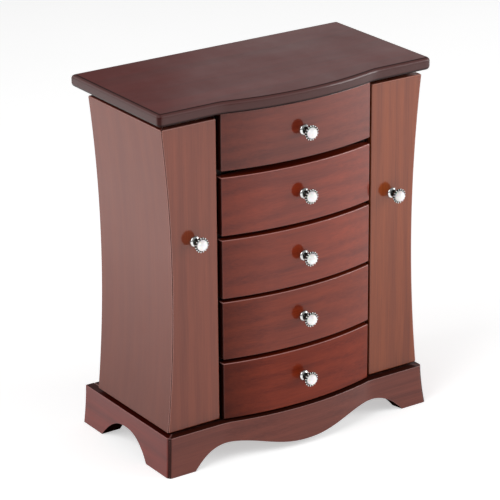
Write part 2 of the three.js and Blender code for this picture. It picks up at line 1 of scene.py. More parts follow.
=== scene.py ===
import math

import bmesh
import bpy
from mathutils import Matrix, Vector


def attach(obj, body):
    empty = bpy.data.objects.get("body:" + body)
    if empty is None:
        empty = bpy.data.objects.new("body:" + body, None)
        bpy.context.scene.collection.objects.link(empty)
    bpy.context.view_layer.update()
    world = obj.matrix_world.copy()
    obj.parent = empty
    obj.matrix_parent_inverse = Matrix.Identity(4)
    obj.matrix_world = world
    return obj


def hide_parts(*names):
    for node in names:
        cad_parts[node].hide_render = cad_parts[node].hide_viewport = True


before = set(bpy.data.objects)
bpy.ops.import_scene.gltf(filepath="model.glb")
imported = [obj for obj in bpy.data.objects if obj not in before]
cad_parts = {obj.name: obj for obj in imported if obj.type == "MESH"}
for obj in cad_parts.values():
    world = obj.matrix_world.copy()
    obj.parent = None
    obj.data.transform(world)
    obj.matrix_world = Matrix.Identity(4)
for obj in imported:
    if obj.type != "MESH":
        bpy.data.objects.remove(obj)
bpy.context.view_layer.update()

# The looks of a jewellery chest: hinged lid with a mirror over a lined tray, bow-fronted drawers with pearl
# knobs, and two hourglass-shaped side towers closed by L-shaped doors.
#
# Sizes are in millimetres. Y = 0 is near the middle of the lid's straight sides; points() moves everything
# back by SHIFT and scales it to metres, which is the frame's own system.

MM = 0.001
SHIFT = 13.6
GAP = 0.3
SIDES = (("left", -1), ("right", 1))

LID = {"top": 390, "thick": 13.5, "half": 167, "front": -84.5, "back": 83, "bow": 13, "corner": 5.5,
       "round": 4.2, "back_share": 0.35}
LID_BOTTOM = LID["top"] - LID["thick"]
BOW_RADIUS = 340
EASE_RADIUS = 60

BASE = {"top": 42.8, "half": 162.4, "front": -83.8, "back": 82, "bow": 12.2, "thick": 10, "corner": 5,
        "round": 2.2}
BASE_FLARE = 3.6
FLARE_POWER = 1.6
FOOT_INNER = 130
ARCH_PEAK_X = 89
ARCH_PEAK = 21
ARCH_DROP = 6
ARCH_CURVE = {"foot": 2.5, "middle": 1.1, "plain": 2.3}
SIDE_ARCH = {"half": 44, "peak": 25, "middle": 1}
BACK_ARCH_HALF = 118
FOOT_BLOCK = {"thick": 9, "start": 16, "top": 36}

DOOR = {"top": 371.2, "bottom": 45.3, "front": -76.7, "rear": 62, "inner": 95.7, "thick": 9, "round": 1.4}
DOOR_SEAM = {"outside": 0.5, "inside": 0.06}  # the mitre shows as a fine line, and closes towards the inside
LINING = {"margin": 14, "side_margin": 8, "thick": 1.2}
STILE = {"inner": 136, "depth": 14}
WAIST = {"half": 150.4, "z": 203, "radius": 1450}
PIVOT = {"x": 147, "y": 55, "radius": 1.6, "depth": 12, "top": 375.7, "below": 5.7, "bore": 1.9,
         "washer": 4.4}
MAGNET = {"radius": 4, "depth": 1.2, "from_end": 30, "from_wall": 7}
WALL_OUTER = 94

FRONT_HALF = 92
FRONT_FLAT = -70
FRONT_APEX = -91.7
FRONTS = {
    "top_false_front": (315.5, 375.9),
    "drawer_1_front": (246.5, 309),
    "drawer_2_front": (178.4, 242.1),
    "drawer_3_front": (111.4, 174.8),
    "drawer_4_front": (44.8, 107),
}
BOX = {"half": 84.5, "front": -69.7, "back": 60, "wall": 5, "floor": 4, "below_front": 9, "drop": 1.5,
       "shelf": 3.5, "clear": 0.4, "seam": 0.08}  # shelf is its top's height over the front below

# Turned parts are lists of (radius, distance along the axis).
KNOB_SIDE = {"x": 123, "z": 248}
KNOB_BODY = [(0, 0.3), (5.4, 0.3), (5.7, 0.6), (5.6, 1.2), (5.0, 1.8), (3.8, 2.6), (2.9, 3.6), (2.5, 5.0),
             (2.45, 6.4), (2.7, 7.6), (3.5, 8.8), (4.8, 9.8), (6.3, 10.7), (7.3, 11.5), (7.65, 12.4),
             (7.5, 13.0), (7.0, 13.3), (6.0, 13.2), (0, 13.2)]
# Beyond the flange the knob's neck and crown are painted near black: a painted dark reflection and shade.
KNOB_FLANGE = 2.3  # bright metal up to here, darkened beyond
KNOB_TURN = 64
PRONG = {"count": 16, "radius": 7.15, "out": 13.1, "size": (1.2, 0.66, 1.1)}  # radially, across, outward
PEARL = {"radius": 5.9, "start": 13.25, "rise": 4.7, "end": 18.4, "foot": 0.15}
KNOB_SCREW = [(0, -0.4), (2.9, -0.4), (2.9, 0.5), (2.6, 1.0), (1.9, 1.4), (1.5, 1.5), (1.2, 0.9), (0, 0.7)]
HINGE_SCREW = [(0, 0), (2.1, 0), (2.0, 0.3), (1.4, 0.65), (0, 0.8)]
HOOK_SCREW = [(0, 1.5), (1.8, 1.5), (1.7, 1.9), (1.1, 2.2), (0, 2.3)]
HOOK_COLLAR = [(0, 1.5), (2.3, 1.5), (2.2, 2.2), (1.5, 2.6), (0, 2.6)]
PIN_HEAD = [(1, 0), (1.6, 0), (1.7, 0.2), (1.6, 0.55), (1, 0.9), (0, 1)]

MIRROR = {"half": 68, "front": -49, "back": 46, "bottom": 376.9, "rim": 8, "rim_bottom": 374.5, "recess": 3,
          "bevel": 5, "bevel_rise": 0.45}
MOULDING = [(0.3, 1.1), (0.9, 0.6), (1.9, 0.45), (2.6, 0.9), (3.4, 0.35), (4.4, 0), (5.6, 0.15), (6.7, 0.6),
            (7.5, 1.3), (8, 2.1)]  # distance out from the glass, height over the rim's lowest line
TRAY = {"half": 84.7, "front": -68.8, "back": 64.5, "top": 366, "wall": 2.5, "floor": 312.8, "seam": 0.06}
DIVIDER = {"x": -8, "thick": 2.5, "top": 356}
BIN_PAD = {"clear": 0.6, "edge": 0.8, "crown": 1.8}
ROLLS = {"count": 9, "top": 349.7, "slit": 7.5, "steps": 14, "wobble": 0.25, "droop": 1.6, "dip": 0.65}
LID_AXIS = {"y": 76.9, "z": 374.6}
HINGE = {"x": 88, "length": 32, "knuckles": 3, "barrel": 2, "bore": 1.3, "thick": 0.9, "clear": 1.7,
         "end": 12.4, "start": 1.6, "corner": 1.6, "neck": (0.2, 1.7), "neck_start": 1.35,
         "screws": (-10, 10), "below": 7.5}
MORTISE = {"y": (64, 79.8), "depth": 1.1, "margin": 2}
HOOKS = {"count": 5, "spacing": 24, "z": 358, "wire": 1.1, "ball": 1.7, "plate": 1.6, "end": 8, "half": 5,
         "screw": 4.5}
HOOK_PATH = [(0.8, 2), (3.5, 2.1), (6, 1.5), (9, -2), (12, -4.4), (15.3, -2.4), (16.4, 1.4)]

CAMERA = {"lens": 181.6, "azimuth": -34.0, "elevation": 21.303, "roll": -0.465, "distance": 2657.2,
          "target": (-4.878, 0, 187.72)}


# ---- mesh helpers

def points(coordinates):
    """Millimetres in the chest's own system to metres in the frame."""
    return [Vector((x * MM, (y + SHIFT) * MM, z * MM)) for x, y, z in coordinates]


def link(obj):
    bpy.context.scene.collection.objects.link(obj)
    return obj


def solid(name, part):
    """A closed, smooth mesh object from a part, which is a pair of coordinates and faces."""
    mesh = bpy.data.meshes.new(name)
    mesh.from_pydata(points(part[0]), [], part[1])
    work = bmesh.new()
    work.from_mesh(mesh)
    bmesh.ops.remove_doubles(work, verts=work.verts, dist=1e-6)
    bmesh.ops.recalc_face_normals(work, faces=work.faces)
    for face in work.faces:
        face.smooth = True
    work.to_mesh(mesh)
    work.free()
    return link(bpy.data.objects.new(name, mesh))


def piece(name, part, look, body, *nodes):
    """A solid that rides on a body, with its look and the CAD nodes that it stands for."""
    obj = solid(name, part)
    obj.data.materials.append(LOOKS[look])
    if nodes:
        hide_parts(*nodes)
    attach(obj, body)
    return obj


def between(start, end, share):
    return start + (end - start) * share


def spaced(start, end, steps):
    return [start + (end - start) * k / steps for k in range(steps + 1)]


def quarter(steps):
    return spaced(0, math.pi / 2, steps)


def merge(*parts):
    coordinates, faces = [], []
    for more, sides in parts:
        first = len(coordinates)
        coordinates += list(more)
        faces += [tuple(first + k for k in side) for side in sides]
    return coordinates, faces


def tube(rings, closed=False, capped=True):
    """Joins each ring of points to the next, and either closes the loop or, if capped, fills its ends."""
    count = len(rings[0])
    faces = [] if closed or not capped else [tuple(range(count)), tuple(range(-count, 0))]
    faces = [tuple(k % (count * len(rings)) for k in face) for face in faces]
    for r in range(len(rings) if closed else len(rings) - 1):
        here, after = r * count, (r + 1) % len(rings) * count
        for k in range(count):
            n = (k + 1) % count
            faces.append((here + k, here + n, after + n, after + k))
    return [point for ring in rings for point in ring], faces


def slab(outer, inner, stations, rows):
    """The solid between two surfaces, each a function of a station along it and a height share."""
    shares = spaced(0, 1, rows)
    rings = [[*(outer(s, t) for t in shares), *(inner(s, t) for t in reversed(shares))] for s in stations]
    coordinates, faces = tube(rings, capped=False)
    for low in (0, len(coordinates) - len(rings[0])):
        high = low + len(rings[0]) - 1
        faces += [(low + row, low + row + 1, high - row - 1, high - row) for row in range(rows)]
    return coordinates, faces


def prism(outline, z0, z1):
    """A flat outline, pulled up between two heights."""
    return tube([[(x, y, z) for x, y in outline] for z in (z0, z1)])


def block(x, y, z):
    return prism([(x[0], y[0]), (x[1], y[0]), (x[1], y[1]), (x[0], y[1])], z[0], z[1])


def walls(half, y, z, thick, seam):
    """Four upright strips round a rectangle, the end ones a seam short of the side ones."""
    inner = half - thick - seam
    return [block((-half, -half + thick), y, z), block((half - thick, half), y, z),
            block((-inner, inner), (y[0], y[0] + thick), z), block((-inner, inner), (y[1] - thick, y[1]), z)]


def lathe(profile, segments, centre=(0, 0, 0), axis="Z", way=1):
    """Turns a profile with its ends on the axis, or a closed one. way = -1 faces it the other way."""
    cx, cy, cz = centre
    place = {
        "X": lambda a, b, out: (cx + out, cy + a, cz + b),
        "Y": lambda a, b, out: (cx + a, cy - out, cz + b),
        "Z": lambda a, b, out: (cx + a, cy + b, cz + out),
    }[axis]
    turns = spaced(0, 2 * math.pi, segments)[:-1]
    rings = [[place(r * math.cos(t), r * math.sin(t), way * along) for t in turns] for r, along in profile]
    return tube(rings, closed=profile[0][0] > 0, capped=False)


def eased(inner, outer, start, end, ease):
    """The profile of a rod, or of a ring with an inner radius, with eased edges."""
    return [(inner, start), (outer - ease, start), (outer, start + ease), (outer, end - ease),
            (outer - ease, end), (inner, end)]


def ball(radius, centre, segments):
    turns = spaced(0, math.pi, segments // 2)[1:-1]
    profile = [(radius * math.sin(t), -radius * math.cos(t)) for t in turns]
    return lathe([(0, -radius), *profile, (0, radius)], segments, centre)


def curve_through(path, steps):
    """Points on a Catmull-Rom curve through a path of 3-D points."""
    ends = [path[0] + (path[0] - path[1]), *path, path[-1] + (path[-1] - path[-2])]
    result = []
    for k in range(len(path) - 1):
        a, b, c, d = ends[k:k + 4]
        for step in range(steps):
            t = step / steps
            result.append(0.5 * (2 * b + (c - a) * t + (2 * a - 5 * b + 4 * c - d) * t * t
                                 + (3 * b - a - 3 * c + d) * t ** 3))
    return [*result, path[-1]]


def wire(path, radius, segments=12, steps=6):
    """A round wire along a smooth path in a vertical plane, with closed ends."""
    line = curve_through([Vector(p) for p in path], steps)
    side = Vector((0, 1, 0))
    turns = spaced(0, 2 * math.pi, segments)[:-1]
    rings = []
    for k, point in enumerate(line):
        up = side.cross((line[min(k + 1, len(line) - 1)] - line[max(k - 1, 0)]).normalized())
        rings.append([tuple(point + radius * (math.cos(t) * side + math.sin(t) * up)) for t in turns])
    return tube(rings)


def arc(x, y, radius, start, steps=5):
    """A quarter turn round a centre, from a start angle in degrees."""
    turns = [math.radians(start + 90 * k / steps) for k in range(steps + 1)]
    return [(x + radius * math.cos(t), y + radius * math.sin(t)) for t in turns]


def sharper(edge, angle):
    return len(edge.link_faces) == 2 and edge.calc_face_angle() > math.radians(angle)


def bevel(obj, width, segments, method):
    modifier = obj.modifiers.new("Bevel", "BEVEL")
    modifier.width = width * MM
    modifier.segments = segments
    modifier.limit_method = method
    return modifier


def soften(obj, width, segments=3, angle=32, share=None):
    """Rounds the edges sharper than an angle. share(x, y, z) scales the width at an edge's middle."""
    work = bmesh.new()
    work.from_mesh(obj.data)
    weight = work.edges.layers.float.new("bevel_weight_edge")
    for edge in work.edges:
        if sharper(edge, angle):
            middle = (edge.verts[0].co + edge.verts[1].co) / (2 * MM)
            edge[weight] = share(middle.x, middle.y - SHIFT, middle.z) if share else 1
    work.to_mesh(obj.data)
    work.free()
    bevel(obj, width, segments, "WEIGHT").miter_outer = "MITER_ARC"
    obj.modifiers.new("Normals", "WEIGHTED_NORMAL").keep_sharp = True
    return obj


def settle(obj):
    """Applies the object's modifiers to its mesh."""
    graph = bpy.context.evaluated_depsgraph_get()
    mesh = bpy.data.meshes.new_from_object(obj.evaluated_get(graph))
    obj.modifiers.clear()
    old, obj.data = obj.data, mesh
    bpy.data.meshes.remove(old)


def carve(obj, *tools):
    """Cuts parts out of a piece and makes the result permanent."""
    cutters = []
    for k, tool in enumerate(tools):
        cutter = solid(f"cutter_{k}", tool)
        cutter.data.materials.append(obj.data.materials[0])
        modifier = obj.modifiers.new("Cut", "BOOLEAN")
        modifier.operation = "DIFFERENCE"
        modifier.solver = "EXACT"
        modifier.object = cutter
        cutters.append(cutter)
    settle(obj)
    for cutter in cutters:
        bpy.data.objects.remove(cutter)


def keep(node, look, width):
    """A CAD node that stays: it gets a material and eased edges."""
    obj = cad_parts[node]
    obj.data.materials.clear()
    obj.data.materials.append(LOOKS[look])
    obj.modifiers.new("Weld", "WELD").merge_threshold = 1e-5
    bevel(obj, width, 2, "ANGLE").angle_limit = math.radians(40)
    obj.modifiers.new("Normals", "WEIGHTED_NORMAL")


# ---- shader helpers

class Graph:
    """Short calls for building one material's nodes."""

    def __init__(self, name):
        self.material = bpy.data.materials.new(name)
        self.material.use_nodes = True
        self.tree = self.material.node_tree
        self.shader = self.tree.nodes["Principled BSDF"]

    def fill(self, socket, value):
        """A link from another node's output, or a constant on the socket itself."""
        if isinstance(value, bpy.types.NodeSocket):
            self.tree.links.new(value, socket)
        else:
            is_colour = socket.type == "RGBA" and isinstance(value, tuple)
            socket.default_value = (*value, 1) if is_colour else value

    def node(self, kind, values=None, **settings):
        made = self.tree.nodes.new(kind)
        for key, value in settings.items():
            setattr(made, key, value)
        for key, value in (values or {}).items():
            self.fill(made.inputs[key], value)
        return made

    def math(self, operation, a, b=0.0, c=0.0):
        return self.node("ShaderNodeMath", {0: a, 1: b, 2: c}, operation=operation).outputs[0]

    def times(self, a, b):
        return self.math("MULTIPLY", a, b)

    def plus(self, a, share, b):
        """b with a share of a on top."""
        return self.math("MULTIPLY_ADD", a, share, b)

    def place(self, scale=(1, 1, 1), offset=(0, 0, 0), turn=(0, 0, 0)):
        """Object coordinates, scaled, turned and moved."""
        source = self.node("ShaderNodeTexCoord").outputs["Object"]
        values = {"Vector": source, "Scale": scale, "Location": offset, "Rotation": turn}
        return self.node("ShaderNodeMapping", values).outputs[0]

    def split(self, vector):
        return self.node("ShaderNodeSeparateXYZ", {0: vector}).outputs

    def noise(self, vector, scale, detail=4.0, roughness=0.5, distortion=0.0):
        values = {"Vector": vector, "Scale": scale, "Detail": detail, "Roughness": roughness,
                  "Distortion": distortion}
        return self.node("ShaderNodeTexNoise", values).outputs[0]

    def stretch(self, value, low, high, to_low=0.0, to_high=1.0):
        values = {"Value": value, "From Min": low, "From Max": high, "To Min": to_low, "To Max": to_high}
        return self.node("ShaderNodeMapRange", values, clamp=True).outputs[0]

    def ramp(self, value, stops):
        made = self.node("ShaderNodeValToRGB", {0: value})
        band = made.color_ramp
        for place, colour in stops[1:-1]:
            band.elements.new(place).color = (*colour, 1)
        for element, (place, colour) in ((band.elements[0], stops[0]), (band.elements[-1], stops[-1])):
            element.position = place
            element.color = (*colour, 1)
        return made.outputs[0]

    def mix(self, factor, a, b, blend="MIX"):
        values = {0: factor, 6: a, 7: b}
        return self.node("ShaderNodeMix", values, data_type="RGBA", blend_type=blend).outputs[2]

    def bump(self, height, strength, distance):
        values = {"Height": height, "Strength": strength, "Distance": distance}
        return self.node("ShaderNodeBump", values).outputs[0]

    def edges(self, radius):
        """1 near rounded and sharp edges, 0 on flat surfaces."""
        rounded = self.node("ShaderNodeBevel", {"Radius": radius}, samples=3).outputs[0]
        plain = self.node("ShaderNodeNewGeometry").outputs["Normal"]
        facing = self.node("ShaderNodeVectorMath", {0: rounded, 1: plain}, operation="DOT_PRODUCT")
        return self.stretch(facing.outputs["Value"], 0.995, 0.8)

    def finish(self, colour, roughness, normal=None, **constants):
        values = {"Base Color": colour, "Roughness": roughness, **constants}
        if normal:
            values["Normal"] = normal
        for name, value in values.items():
            self.fill(self.shader.inputs[name.replace("_", " ")], value)
        return self.material


# ---- materials

def scaled(colour, share):
    return tuple(min(1, share * c) for c in colour)


RIM_SHINE = 2.9  # lacquer on a rounded rim, times that on its top face
# Painted shade: rounded lower edges are painted nearly black and flat undersides darker.
LOWER_EDGE_SHADE = 0.1  # tone of the rounded lower edges
UNDERSIDE_SHADE = 0.6  # tone of flat undersides
GRAIN_SCALE = {"X": (0.06, 1, 1), "Y": (1, 0.06, 1), "Z": (1, 1, 0.06)}
GRAIN_FINE = {"X": (0.02, 1, 1), "Y": (1, 0.02, 1), "Z": (1, 1, 0.02)}
GRAIN_TILT = {"X": (0, 0.03, 0.05), "Y": (0.03, 0, 0.05), "Z": (0.04, 0.05, 0)}


def veneer(g, grain, seed, colour, contrast):
    """The stained figure's colour, and its fibres and pores, along one axis."""
    offset = (0.31 * seed, 0.17 * seed, 0.23 * seed)
    coarse = g.place(GRAIN_SCALE[grain], offset, GRAIN_TILT[grain])
    fine = g.place(GRAIN_FINE[grain], offset, GRAIN_TILT[grain])
    values = {"Vector": coarse, "Scale": 22.0, "Distortion": 9.0, "Detail": 4.0, "Detail Scale": 1.1,
              "Detail Roughness": 0.6}
    rings = g.node("ShaderNodeTexWave", values, wave_type="RINGS", rings_direction=grain,
                   wave_profile="SIN").outputs["Fac"]
    broad = g.noise(coarse, 26.0, 4.0, 0.55)
    streaks = g.noise(fine, 150.0, 5.0, 0.62)
    fibres = g.noise(fine, 900.0, 3.0, 0.6)
    pores = g.stretch(g.noise(fine, 1700.0, 2.0, 0.5), 0.63, 0.74)
    figure = g.plus(fibres, 0.5, g.plus(streaks, 0.5, g.plus(rings, 0.14, g.times(broad, 0.5))))
    dark, light = 1 - 0.36 * contrast, 1 + 0.34 * contrast
    red, green, blue = colour
    tint = g.ramp(g.stretch(figure, 0.58, 1.06), [
        (0.1, (red * dark, green * dark ** 1.5, blue * dark ** 1.5)), (0.5, colour),
        (0.9, (red * light, green * light ** 1.25, blue * light ** 1.25))])
    tint = g.mix(g.times(pores, 0.3), tint, scaled(colour, 0.4))
    smudge = g.noise(g.place(offset=offset), 22.0, 5.0, 0.6)
    return tint, fibres, pores, smudge


def wood(name, grain, seed, colour, contrast=1.0, coat=1.0, polish=0.07, wear_and_highlight=0.3, end=1.0, corner=1.0,
         top=1.0, low=1.0, front=1.0, rim=None, light_sweep=None):
    """Stained veneer under lacquer, its grain along one axis.

    contrast is the strength of its figure and polish the roughness of its lacquer. end is the tone on end
    grain, a darker stain that on the fronts is also painted shade in the gaps beside them. corner, top, front
    and low are
    painted shade: tones on rounded upright corners, on a top face, on faces turned forward and near the
    floor.
    rim is the colour of a rounded rim round a top face, a painted shade, with a painted dark line where it
    meets the top. light_sweep is painted light across a piece: the tones at the left and right ends, and the
    lacquer's share at the left end. Rounded lower edges are painted nearly black and flat undersides darker,
    as painted shade, and undersides have no lacquer. Upper edges are worn pale, and upward-facing rounded
    edges get a painted highlight, both by the share wear_and_highlight.
    """
    g = Graph(name)
    tint, fibres, pores, smudge = veneer(g, grain, seed, colour, contrast)
    facing = g.split(g.node("ShaderNodeTexCoord").outputs["Normal"])
    ahead, upward = facing["Y"], facing["Z"]
    place = g.split(g.place())
    cover = g.stretch(upward, -0.6, -0.05, 0.0, coat)
    # Edges worn pale; a painted highlight on upward-facing edges joins this mask below.
    worn = g.edges(0.0012)

    def fade(value, mask, share):
        """The value, times a share of itself where the mask is 1."""
        return g.times(g.stretch(mask, 0, 1, 1, share), value)

    def paint(mask, stain, lacquer):
        """Where the mask is 1, another colour and a share of the lacquer: painted shade, and end grain's
        darker stain.
        """
        nonlocal tint, cover
        tint = g.mix(mask, tint, stain)
        cover = fade(cover, mask, lacquer)

    if rim:
        # Painted shade on a rounded rim round a top face, with more lacquer there, and a painted dark line
        # where the rim meets the top.
        paint(g.stretch(upward, 0.95, 0.9), rim, RIM_SHINE)
        line = g.times(g.stretch(upward, 0.9995, 0.99), g.stretch(upward, 0.88, 0.93))
        paint(line, scaled(colour, 0.1), 0.2)
    # Painted shade on a top face, such as the base's ledge under the towers, with little lacquer there.
    if top < 1:
        paint(g.stretch(upward, 0.9, 0.97), scaled(colour, top), 0.15)
    # End grain takes a darker stain; on the fronts it is near black, which is also painted shade in the gaps
    # beside them.
    if end < 1:
        across = g.stretch(g.math("ABSOLUTE", facing[grain]), 0.6, 0.95)
        paint(across, scaled(colour, end), 0.3)
    # Painted shade on rounded upright corners, with less lacquer and no pale edge there.
    if corner < 1:
        square = g.plus(ahead, ahead, g.plus(facing["X"], facing["X"], 0.05))
        diagonal = g.math("DIVIDE", g.math("ABSOLUTE", g.times(facing["X"], ahead)), square)
        corner_shade_mask = g.stretch(diagonal, 0.27, 0.4)
        paint(corner_shade_mask, scaled(colour, corner), 0.2)
        worn = g.times(g.stretch(corner_shade_mask, 0, 0.3, 1, 0), worn)
    # Painted shade on faces turned forward, for inner wood that is seen only through gaps.
    if front < 1:
        tint = g.mix(g.stretch(ahead, -0.6, -0.95), tint, scaled(colour, front))
    # Painted shade near the floor: stain and lacquer fade towards the bottom.
    if low < 1:
        shade = g.stretch(place["Z"], 0.05, 0.24, low, 1)
        tint = g.mix(1.0, tint, shade, "MULTIPLY")
        cover = g.times(g.times(shade, shade), cover)
    # Painted light across the piece: darker, with less lacquer, at the left end and lighter towards the
    # right.
    if light_sweep:
        left, right, lacquer = light_sweep
        shade = g.stretch(place["X"], -0.04, 0.05, 1, right)
        shade = g.times(g.stretch(place["X"], -0.09, -0.04, left, 1), shade)
        tint = g.mix(1.0, tint, shade, "MULTIPLY")
        cover = g.times(g.stretch(place["X"], -0.09, -0.04, lacquer, 1), cover)
    # Painted shade under things: rounded lower edges nearly black, flat undersides darker.
    tint = g.mix(g.stretch(upward, -0.12, -0.5), tint, scaled(colour, LOWER_EDGE_SHADE))
    tint = g.mix(g.stretch(upward, -0.97, -0.995), tint, scaled(colour, UNDERSIDE_SHADE))
    # A painted highlight on upward-facing rounded edges, joined to the worn edges; both lighten the stain.
    crest = g.times(g.stretch(upward, 0.2, 0.5), g.stretch(upward, 0.97, 0.85))
    worn = g.math("MAXIMUM", g.times(g.stretch(upward, -0.3, -0.05), worn), crest)
    tint = g.mix(g.times(worn, wear_and_highlight), tint, tuple(min(1, 1.6 * c + 0.16) for c in colour))
    gloss = g.stretch(g.plus(fibres, 0.35, smudge), 0.4, 0.95, 0.3, 0.45)
    normal = g.bump(g.plus(pores, -0.6, g.times(fibres, 0.5)), 0.1, 0.0001)
    if coat:
        g.fill(g.shader.inputs["Coat Weight"], cover)
    return g.finish(tint, gloss, normal, Coat_Roughness=polish, Coat_IOR=1.5,
                    Specular_IOR_Level=0.1 if coat else 0.0)


def felt(name, colour, shade, scale=900.0, sheen=0.5):
    """Short flocked or napped cloth."""
    g = Graph(name)
    space = g.place()
    nap = g.noise(space, scale, 3.0, 0.7)
    clumps = g.noise(space, 120.0, 4.0, 0.6)
    brushed = g.noise(g.place((1, 0.35, 1)), 26.0, 3.0, 0.5)
    tone = g.stretch(g.plus(nap, 0.5, g.plus(clumps, 0.3, g.times(brushed, 0.4))), 0.42, 0.78)
    tint = g.ramp(tone, [(0.0, shade), (0.45, colour), (1.0, scaled(colour, 1.12))])
    normal = g.bump(g.plus(clumps, 0.6, nap), 0.6, 0.0006)
    return g.finish(tint, g.stretch(clumps, 0.3, 0.7, 0.85, 0.98), normal, Sheen_Weight=sheen,
                    Sheen_Roughness=0.4, Specular_IOR_Level=0.2)


def metal(name, bright, dull, roughness=(0.12, 0.3)):
    """Plated metal: fine scratches, tarnish in patches, brighter worn edges."""
    g = Graph(name)
    tarnish = g.noise(g.place(), 180.0, 5.0, 0.65)
    lines = g.noise(g.place((0.08, 1, 1), turn=(0.4, 0.2, 0.7)), 2600.0, 2.0, 0.5)
    colour = g.mix(g.stretch(tarnish, 0.42, 0.72), bright, dull)
    colour = g.mix(g.times(g.edges(0.0003), 0.6), colour, scaled(bright, 1.15))
    gloss = g.plus(g.stretch(lines, 0.5, 0.75), 0.075, g.stretch(tarnish, 0.3, 0.75, *roughness))
    return g.finish(colour, gloss, g.bump(lines, 0.05, 0.00005), Metallic=1.0)


def pearl_look(name):
    g = Graph(name)
    cloud = g.noise(g.place(), 160.0, 3.0, 0.5, 0.6)
    colour = g.ramp(g.stretch(cloud, 0.35, 0.7),
                    [(0.0, (0.90, 0.87, 0.85)), (0.5, (0.95, 0.94, 0.93)), (1.0, (0.97, 0.97, 0.98))])
    gloss = g.stretch(cloud, 0.3, 0.75, 0.12, 0.26)
    return g.finish(colour, gloss, g.bump(cloud, 0.04, 0.0002), Coat_Weight=0.9, Coat_Roughness=0.04,
                    Coat_IOR=1.6, Subsurface_Weight=0.15, Subsurface_Scale=0.002, Sheen_Weight=0.15)


def mirror_look(name):
    g = Graph(name)
    haze = g.noise(g.place(), 30.0, 5.0, 0.6)
    colour = g.ramp(haze, [(0.3, (0.84, 0.87, 0.88)), (0.7, (0.9, 0.92, 0.93))])
    return g.finish(colour, g.stretch(haze, 0.4, 0.8, 0.012, 0.045), Metallic=1.0)


STAIN = {
    "lid": (0.112, 0.009, 0.006),
    # the lid's rounded rim: painted shade, darker than its top
    "lid_edge_shade": (0.058, 0.014, 0.012),
    "top_false_front": (0.132, 0.0165, 0.006),
    "drawer_1_front": (0.176, 0.019, 0.005),
    "drawer_2_front": (0.157, 0.017, 0.004),
    "drawer_3_front": (0.147, 0.017, 0.004),
    "drawer_4_front": (0.145, 0.016, 0.004),
    "left_door": (0.175, 0.034, 0.014),
    # lighter than the left door: partly its own tone, partly painted light from the right
    "right_door": (0.225, 0.044, 0.010),
    "side": (0.172, 0.032, 0.014),
    "base_front": (0.118, 0.022, 0.012),
    "base_side": (0.142, 0.012, 0.006),
    "inner": (0.060, 0.017, 0.012),
    "ledge": (0.050, 0.012, 0.009),
    # painted shade: near black, for the rounded rim of the ledge in the gap under the lid
    "hollow": (0.008, 0.0025, 0.002),
    # cut edges underneath: partly bare wood, partly painted shade under the arches
    "sawn_shaded": (0.040, 0.008, 0.005),
}
# The lacquer's weight falls towards the lower drawers, painted shade in their reflections. Each front has
# painted light across it: darker with less lacquer towards its left end, lighter towards its right.
FRONT_COAT = (0.92, 0.9, 0.78, 0.58, 0.22)
FRONT_LIGHT_SWEEP = ((0.72, 1.2, 0.64), (0.72, 1.12, 0.6), (0.72, 1.25, 0.58), (0.6, 1.16, 0.33), (0.46, 1.1, 0.3))
DOOR_FIGURE = (0.6, 0.75)  # contrast of the left and right door's front
# the doors' fronts get painted shade near the floor
DOOR_LOW_SHADE = (0.88, 0.84)  # and their tone near the floor
# On the base, corner and top are painted shade: on its rounded corners and on its ledge under the towers.
BASE_LOOK = {"contrast": 0.7, "coat": 0.6, "wear_and_highlight": 0.8, "corner": 0.25, "top": 0.3}
INNER_LOOK = {"contrast": 0.9, "coat": 0.1, "polish": 0.25}

